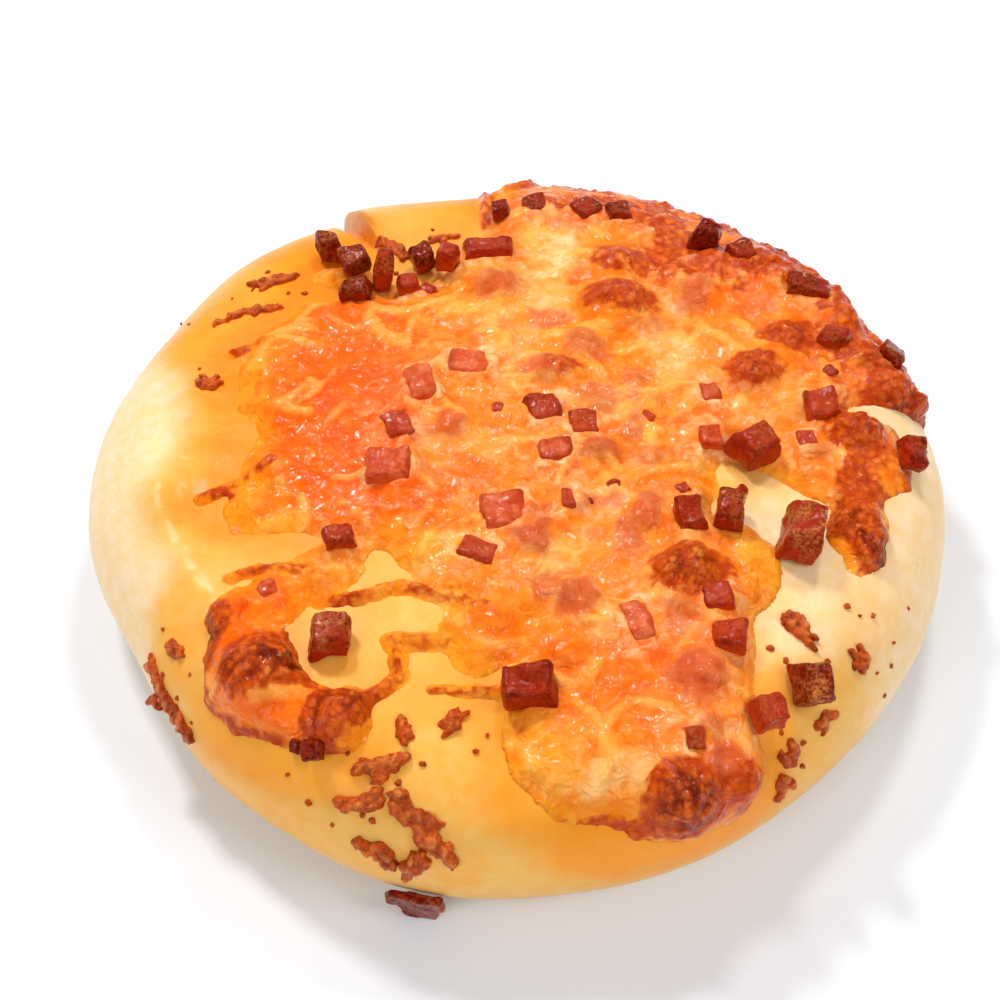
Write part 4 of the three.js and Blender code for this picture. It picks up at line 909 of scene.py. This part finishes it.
    def strands(self, x, y, masks, settings):
        """Grated shreds melted into the sheet: their relief, their backs and their own tint."""
        draw = random.Random(21)
        relief = np.zeros_like(x)
        tint = 0.5 + 0.5 * wander(x, y, 5, 12)
        placed = 0
        while placed < settings.strands:
            start_x, start_y = draw.uniform(-48, 60), draw.uniform(-60, 60)
            if float(inside_cheese(np.array(start_x), np.array(start_y))) < 0.4:
                continue
            placed += 1
            heading = draw.uniform(0, 2 * math.pi)
            length = draw.uniform(4, 10)
            bow = draw.uniform(-0.5, 0.5)
            path = []
            for _ in range(4):
                path.append((start_x, start_y))
                start_x += length / 3 * math.cos(heading)
                start_y += length / 3 * math.sin(heading)
                heading += bow
            half = draw.uniform(0.85, 1.35)
            rise = draw.uniform(0.5, 1.0)
            shade = draw.random()
            reach = length + 2 * half
            close = (np.abs(x - path[0][0]) < reach) & (np.abs(y - path[0][1]) < reach)
            distance, place = path_distance(x[close], y[close], path)
            taper = np.sqrt(np.clip(1 - (2 * place - 1) ** 4, 0, 1))
            body = np.clip(1 - (distance / half) ** 2, 0, 1) ** 0.8 * rise * (0.4 + 0.6 * taper)
            over = body > relief[close]
            relief[close] = np.where(over, body, relief[close])
            cover = smooth(body, 0.05, 0.45)
            tint[close] = np.where(over, tint[close] * (1 - cover) + shade * cover, tint[close])
        calm = 1 - 0.5 * masks["pale"] - 0.3 * masks["yellow"]
        return settings.strand_rise * relief * np.clip(calm, 0.25, 1), tint

    def heights(self, x, y, inside, masks, relief):
        """The sheet's upper face: the solid's own thickness, with strands, creases and bubbles."""
        flat = np.stack((x, y, np.zeros_like(x)), axis=-1)
        crisp = smooth(masks["browned"], 0.3, 0.8)
        run = 3.2 - 1.8 * crisp
        rounded = 1 - (1 - np.clip(inside / run, 0, 1)) ** 1.5
        thick = sheet_thickness(x, y, inside)
        creases = self.creases(x, y) + 0.07 * grain(flat, 1.0, 2, 5)
        nodules = 0.95 * np.abs(grain(flat, 2.0, 2, 6)) ** 0.8 - 0.34 + 0.3 * grain(flat, 0.85, 2, 7)
        detail = relief * (1 + 0.6 * crisp) + creases * (1 - crisp) + nodules * crisp
        # the relief's height, read by the finishes for painted shade in hollows and painted light on crests
        masks["painted_relief_shading"] = np.clip(0.5 + (detail - np.median(detail)) * 0.9, 0, 1)
        body = thick + GAP - 0.35 + detail + 0.5 * masks["ham_below"]
        climb, film = self.climb(x, y, thick)
        masks["veil"] = np.maximum(masks["veil"], film)
        body = body + climb
        return (body + SHEET_SINK) * rounded - SHEET_SINK + 0.02

    def climb(self, x, y, bed):
        """How far the cheese climbs each dice of ham, and how milky its film is round the dice."""
        height, film = np.zeros_like(x), np.zeros_like(x)
        uneven = 0.5 * wander(x, y, 5, 3.3) + 0.5 * wander(x, y, 2.6, 1.7)
        for node, look in HAM_LOOKS.items():
            if node == "ham_fallen":
                continue
            corners = [tuple(value / MM for value in vert.co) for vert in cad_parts[node].data.vertices]
            middle = np.mean(corners, axis=0)
            base = unrolled(middle[0], middle[1])
            skin = on_skin(np.array(base[0]), np.array(base[1]), 0)
            lifts = np.array([float((np.array(corner) - skin) @ outward(middle)) for corner in corners])
            laid = [unrolled(corner[0], corner[1]) for corner in corners]
            ring = [laid[index] for index in convex_hull_2d(laid)]
            near = (np.abs(x - base[0]) < 9) & (np.abs(y - base[1]) < 9)
            off = path_distance(x[near], y[near], (*ring, ring[0]))[0]
            within = np.ones(len(off), dtype=bool)
            for start, end in zip(ring, (*ring[1:], ring[0])):
                turn = (end[0] - start[0]) * (y[near] - start[1]) - (end[1] - start[1]) * (x[near] - start[0])
                within &= turn * winding(ring) > 0
            top, weight = 0.0, 0.0
            for (corner_x, corner_y), lift in zip(laid, lifts):
                if lift > 0.6 * lifts.max():
                    share = 1 / ((x[near] - corner_x) ** 2 + (y[near] - corner_y) ** 2 + 0.3) ** 2
                    top, weight = top + share * lift, weight + share
            side = 7.0 * middle[0] + middle[1]
            toward = ((x[near] - base[0]) * math.cos(side) + (y[near] - base[1]) * math.sin(side)) / 3
            stands = np.maximum(top / weight - bed[near], 0)
            reach = stands * look[3] * (0.88 + 0.25 * uneven[near] + 0.5 * smooth(toward, 0.0, 0.9))
            run = (0.6 + 1.0 * look[3]) * (1.0 + 0.6 * uneven[near])
            height[near] = np.maximum(height[near], np.where(within, reach - 0.4 * off, reach * np.exp(-off / run)))
            milky = 0.95 * look[3] * np.exp(-off / 1.9) * np.clip(0.7 + 1.1 * uneven[near], 0, 1)
            film[near] = np.maximum(film[near], milky)
        return height, film

    def creases(self, x, y):
        """Fine folds of melted cheese, running three ways in soft-edged patches."""
        total = np.zeros_like(x)
        weights = np.zeros_like(x)
        for way in range(3):
            turn = 0.5 + way * math.pi / 3
            along = (x * math.cos(turn) + y * math.sin(turn)) / 2.6
            across = y * math.cos(turn) - x * math.sin(turn)
            layer = np.abs(grain(np.stack((along, across, np.full_like(x, 3.0 * way)), axis=-1), 1.9, 3, way + 11))
            weight = np.exp(3 * wander(x, y, 13, way + 2.0))
            total += weight * layer
            weights += weight
        return 0.62 * (total / weights) - 0.13


class PIZZA_OT_shreds(bpy.types.Operator):
    """The crisp shreds and crumbs of cheese baked onto the bare crust"""

    bl_idname = "pizza.shreds"
    bl_label = "Baked shreds"

    def execute(self, context):
        settings = settings_now()
        material = shred_finish(settings)
        for number, (path, wide, rise) in enumerate(BAKED_ON, start=1):
            self.shred(number, path, wide, rise, material)
        self.crumbs(material)
        return {"FINISHED"}

    def shred(self, number, path, wide, rise, material):
        """A crisp shred: nodules set along its line, melted into one crumbly shape."""
        draw = random.Random(number + 60)
        length = bent_line(path, np.array((0.5,)))[3]
        count = max(7, round(length / (0.13 * wide)))
        bm = bmesh.new()
        for step in range(count):
            share = np.array((min(1, max(0, (step + draw.uniform(-0.3, 0.3)) / (count - 1))),))
            x, y, heading, _ = bent_line(path, share)
            end = 0.7 + 0.3 * math.sin(math.pi * float(share[0]))
            radius = draw.uniform(0.16, 0.36) * wide * end
            side = draw.uniform(-0.5, 0.5) * (wide - radius) * end
            ball = bmesh.ops.create_icosphere(bm, subdivisions=2, radius=1)["verts"]
            tall = draw.uniform(0.4, 0.75) * rise
            stretch = draw.uniform(1.3, 2.4)
            middle = (float(x[0]) + side * math.sin(float(heading[0])), float(y[0]) - side * math.cos(float(heading[0])))
            bmesh.ops.scale(bm, vec=(radius * stretch, radius, tall), verts=ball)
            turn = float(heading[0]) + draw.uniform(-0.7, 0.7)
            bmesh.ops.rotate(bm, matrix=Matrix.Rotation(turn, 3, "Z"), verts=ball)
            bmesh.ops.translate(bm, vec=(*middle, 0.1 * rise), verts=ball)
        bm = remeshed(bm, 0.17)
        places = coordinates(bm)
        bm.normal_update()
        normals = np.array([vert.normal[:] for vert in bm.verts])
        rough = grain(places, 1.1, 3, number + 40)
        places = places + normals * (0.3 * rough - 0.16 * np.abs(grain(places, 0.9, 2, number + 47)))[:, None]
        level = places[:, 2] / rise
        places[:, 2] = np.maximum(places[:, 2], -0.3)
        move_all(bm, on_skin(places[:, 0], places[:, 1], places[:, 2]))
        dark = np.clip(0.45 + 0.7 * grain(places, 2.4, 2, number + 43), 0, 1)
        # painted highlight on the shred's tops, from their height
        painted_relief_shading = np.clip(0.9 * smooth(level, 0.4, 1.0) * (0.5 + rough), 0, 0.8)
        piece_from(bm, f"baked_shred_{number:02d}", {"browned": dark, "painted_relief_shading": painted_relief_shading}, material, "cheese")

    def crumbs(self, material):
        bm = bmesh.new()
        dark = []
        for number, (x, y, size, depth) in enumerate(CRUMBS):
            ball = bmesh.ops.create_icosphere(bm, subdivisions=3, radius=0.5 * size)["verts"]
            places = np.array([vert.co[:] for vert in ball])
            bumps = 1 + 0.45 * grain(places, 0.45 * size, 2, number + 3)
            places = places * bumps[:, None] * (1.0, 0.8, 0.6)
            spun = number * 1.3
            flat_x = x + places[:, 0] * math.cos(spun) - places[:, 1] * math.sin(spun)
            flat_y = y + places[:, 0] * math.sin(spun) + places[:, 1] * math.cos(spun)
            for vert, place in zip(ball, on_skin(flat_x, flat_y, places[:, 2] + 0.15 * size)):
                vert.co = place
            dark += [depth] * len(ball)
        piece_from(bm, "crust_crumbs", {"browned": dark, "painted_relief_shading": [0.0] * len(dark)}, material, "cheese")


class PIZZA_OT_ham(bpy.types.Operator):
    """The diced ham, with soft torn edges, each browned as it was in the oven"""

    bl_idname = "pizza.ham"
    bl_label = "Diced ham"

    def execute(self, context):
        settings = settings_now()
        material = ham_finish(settings)
        for seed, node in enumerate(HAM_LOOKS, start=1):
            self.dice(node, seed, settings, material)
        self.scraps(material, settings)
        return {"FINISHED"}

    def dice(self, node, seed, settings, material):
        bm = bmesh.new()
        bm.from_mesh(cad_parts[node].data)
        bmesh.ops.scale(bm, vec=(1 / MM, 1 / MM, 1 / MM), verts=bm.verts)
        bmesh.ops.remove_doubles(bm, verts=bm.verts, dist=1e-3)
        bmesh.ops.dissolve_limit(bm, angle_limit=math.radians(3), verts=bm.verts, edges=bm.edges)
        bmesh.ops.bevel(
            bm, geom=bm.edges[:], offset=settings.ham_rounding, offset_type="OFFSET", affect="EDGES",
            segments=2, profile=0.5, material=-1, clamp_overlap=True,
        )
        places = coordinates(bm)
        low, high = places.min(axis=0), places.max(axis=0)
        bm = remeshed(bm, 0.23)
        places = coordinates(bm)
        bm.normal_update()
        normals = np.array([vert.normal[:] for vert in bm.verts])
        tear = settings.ham_grain * (grain(places, 1.7, 3, seed) + 0.5 * grain(places, 0.7, 2, seed + 50) - 0.25)
        warp = 0.55 * grain(places, 3.6, 2, seed + 80) - 0.1
        places = places + normals * (tear + warp)[:, None]
        middle = (low + high) / 2
        up = outward(middle)
        level = (places - middle) @ up
        lean = np.array((math.cos(seed * 2.4), math.sin(seed * 2.4), 0.0))
        places = places + 0.15 * level[:, None] * lean
        places[:, 2] = np.maximum(places[:, 2], 0)
        move_all(bm, places)
        level = (level - level.min()) / max(np.ptp(level), 1e-6)
        slack = (places - middle) / ((high - low) / 2)
        corner = smooth(np.sort(np.abs(slack), axis=1)[:, 1], 0.55, 1.0)
        browned, pale, crusted, sunk = HAM_LOOKS[node]
        patch = grain(places, 2.2, 2, seed + 9)
        masks = {
            "browned": np.clip(browned * (0.75 + 0.5 * level + 0.35 * patch) + corner * (0.1 + 0.42 * level), 0, 1),
            # the ham's own paleness, plus painted light: paler towards the top, less pale at the corners
            "pale": np.clip(pale * (1 + 0.4 * patch) + 0.3 * smooth(level, 0.62, 0.95) - 0.3 * corner, 0, 1),
            "crusted": np.clip(crusted * (0.5 * smooth(level, 0.35, 1.0) + 1.3 * patch), 0, 0.85),
            # cheese glaze and painted glow towards the bottom, by how deep the dice sits
            "glaze_and_glow": np.clip(0.75 * sunk * (1 - smooth(level, 0.3, 0.9)) + 0.25 * sunk * patch, 0, 1),
        }
        piece_from(bm, node + "_cooked", masks, material, "ham", node)

    def scraps(self, material, settings):
        for number, (x, y, size, browned, pale) in enumerate(SCRAPS, start=1):
            bm = bmesh.new()
            bmesh.ops.create_cube(bm, size=size)
            bmesh.ops.bevel(
                bm, geom=bm.edges[:], offset=0.22 * size, offset_type="OFFSET", affect="EDGES",
                segments=2, profile=0.5, material=-1, clamp_overlap=True,
            )
            bm = remeshed(bm, 0.22)
            places = coordinates(bm)
            bm.normal_update()
            normals = np.array([vert.normal[:] for vert in bm.verts])
            places = places + normals * (0.4 * grain(places, 1.5, 2, number + 20))[:, None]
            level = places[:, 2] / size + 0.5
            turn = number * 1.1
            flat_x = x + places[:, 0] * math.cos(turn) - places[:, 1] * math.sin(turn)
            flat_y = y + places[:, 0] * math.sin(turn) + places[:, 1] * math.cos(turn)
            inside = inside_cheese(np.array([float(x)]), np.array([float(y)]))
            bed = 0.2 * size
            if inside[0] > 0:
                bed = float(sheet_thickness(np.array([float(x)]), np.array([float(y)]), inside)[0])
            move_all(bm, on_skin(flat_x, flat_y, places[:, 2] * 0.55 + bed))
            masks = {
                "browned": np.clip(browned * (0.6 + 0.6 * level), 0, 1),
                "pale": np.full(len(level), pale),
                "crusted": np.zeros(len(level)),
                # cheese glaze and painted glow towards the bottom of the scrap
                "glaze_and_glow": 0.3 * (1 - level),
            }
            piece_from(bm, f"ham_scrap_{number:02d}", masks, material, "ham")


def outward(middle):
    """The direction out of the skin at a point of the top or shoulder."""
    distance = math.hypot(middle[0], middle[1])
    lean = math.asin(min(1.0, max(0.0, (distance - BUN_RADIUS + SHOULDER) / (SHOULDER + 2))))
    across = math.sin(lean) / max(distance, 1e-6)
    return np.array((middle[0] * across, middle[1] * across, math.cos(lean)))


def remeshed(bm, voxel):
    """The shape in even faces of one size."""
    mesh = bpy.data.meshes.new("even_faces")
    bm.to_mesh(mesh)
    bm.free()
    shape = bpy.data.objects.new("even_faces", mesh)
    bpy.context.scene.collection.objects.link(shape)
    even = shape.modifiers.new("even", "REMESH")
    even.mode = "VOXEL"
    even.voxel_size = voxel
    graph = bpy.context.evaluated_depsgraph_get()
    result = bmesh.new()
    result.from_mesh(shape.evaluated_get(graph).data)
    bpy.data.objects.remove(shape)
    bpy.data.meshes.remove(mesh)
    if not result.faces:
        raise RuntimeError("a shape was lost when its faces were made even")
    return result


class PIZZA_OT_stage(bpy.types.Operator):
    """The pale floor, the soft studio lights and the camera"""

    bl_idname = "pizza.stage"
    bl_label = "Stage"

    def execute(self, context):
        scene = context.scene
        scene.view_settings.view_transform = "Standard"
        bm = bmesh.new()
        bmesh.ops.create_circle(bm, cap_ends=True, segments=64, radius=3)
        mesh = bpy.data.meshes.new("studio_floor")
        bm.to_mesh(mesh)
        bm.free()
        floor = bpy.data.objects.new("studio_floor", mesh)
        scene.collection.objects.link(floor)
        finish = Finish(
            "studio_white", 0.7, Specular_IOR_Level=0.1, Emission_Color=colour(240, 246, 255), Emission_Strength=0.14,
        )
        finish.paint(finish.blend(finish.speckle(400, 2), colour(226, 228, 232), colour(230, 231, 235)))
        mesh.materials.append(finish.material)
        self.light("window_light", (-0.26, 0.37, 0.62), 0.11, 3.0)
        self.light("skylight", (0.12, 0.4, 0.64), 0.11, 1.7)
        self.light("fill_light", (0.45, -0.25, 0.5), 0.25, 1.4)
        self.light("front_light", (-0.3, -0.45, 0.35), 0.25, 1.0)
        world = bpy.data.worlds.new("studio_air")
        world.use_nodes = True
        air = world.node_tree.nodes["Background"]
        air.inputs["Color"].default_value = (1, 1, 1, 1)
        air.inputs["Strength"].default_value = 0.32
        scene.world = world
        self.camera(scene)
        return {"FINISHED"}

    def light(self, name, place, size, power):
        lamp = bpy.data.lights.new(name, "AREA")
        lamp.size = size
        lamp.energy = power
        light = bpy.data.objects.new(name, lamp)
        bpy.context.scene.collection.objects.link(light)
        light.location = place
        aim = Vector((0, 0, 0.01)) - light.location
        light.rotation_euler = aim.to_track_quat("-Z", "Y").to_euler()

    def camera(self, scene):
        aim = Vector((-0.00226, 0, 0.013))
        rise = math.radians(50)
        lens = bpy.data.cameras.new("studio_camera")
        lens.lens = 71.48
        lens.sensor_width = 36
        lens.clip_start = 0.01
        camera = bpy.data.objects.new("studio_camera", lens)
        scene.collection.objects.link(camera)
        camera.location = aim + 0.28 * Vector((0, -math.cos(rise), math.sin(rise)))
        camera.rotation_euler = (aim - camera.location).to_track_quat("-Z", "Y").to_euler()
        scene.camera = camera


class PIZZA_PT_panel(bpy.types.Panel):
    """The pizza's pieces and settings"""

    bl_idname = "PIZZA_PT_panel"
    bl_label = "Ham pizza"
    bl_space_type = "VIEW_3D"
    bl_region_type = "UI"
    bl_category = "Pizza"

    def draw(self, context):
        settings = context.scene.ham_pizza
        for name in PizzaSettings.__annotations__:
            self.layout.prop(settings, name)
        for operator in OPERATORS:
            self.layout.operator(operator.bl_idname)


OPERATORS = (PIZZA_OT_crust, PIZZA_OT_cheese, PIZZA_OT_shreds, PIZZA_OT_ham, PIZZA_OT_stage)
CLASSES = (PizzaSettings, *OPERATORS, PIZZA_PT_panel)


def register():
    for item in CLASSES:
        bpy.utils.register_class(item)
    bpy.types.Scene.ham_pizza = bpy.props.PointerProperty(type=PizzaSettings)


def unregister():
    del bpy.types.Scene.ham_pizza
    for item in reversed(CLASSES):
        bpy.utils.unregister_class(item)


def main():
    register()
    bpy.ops.pizza.crust()
    bpy.ops.pizza.cheese()
    bpy.ops.pizza.shreds()
    bpy.ops.pizza.ham()
    bpy.ops.pizza.stage()


if __name__ == "__main__":
    main()
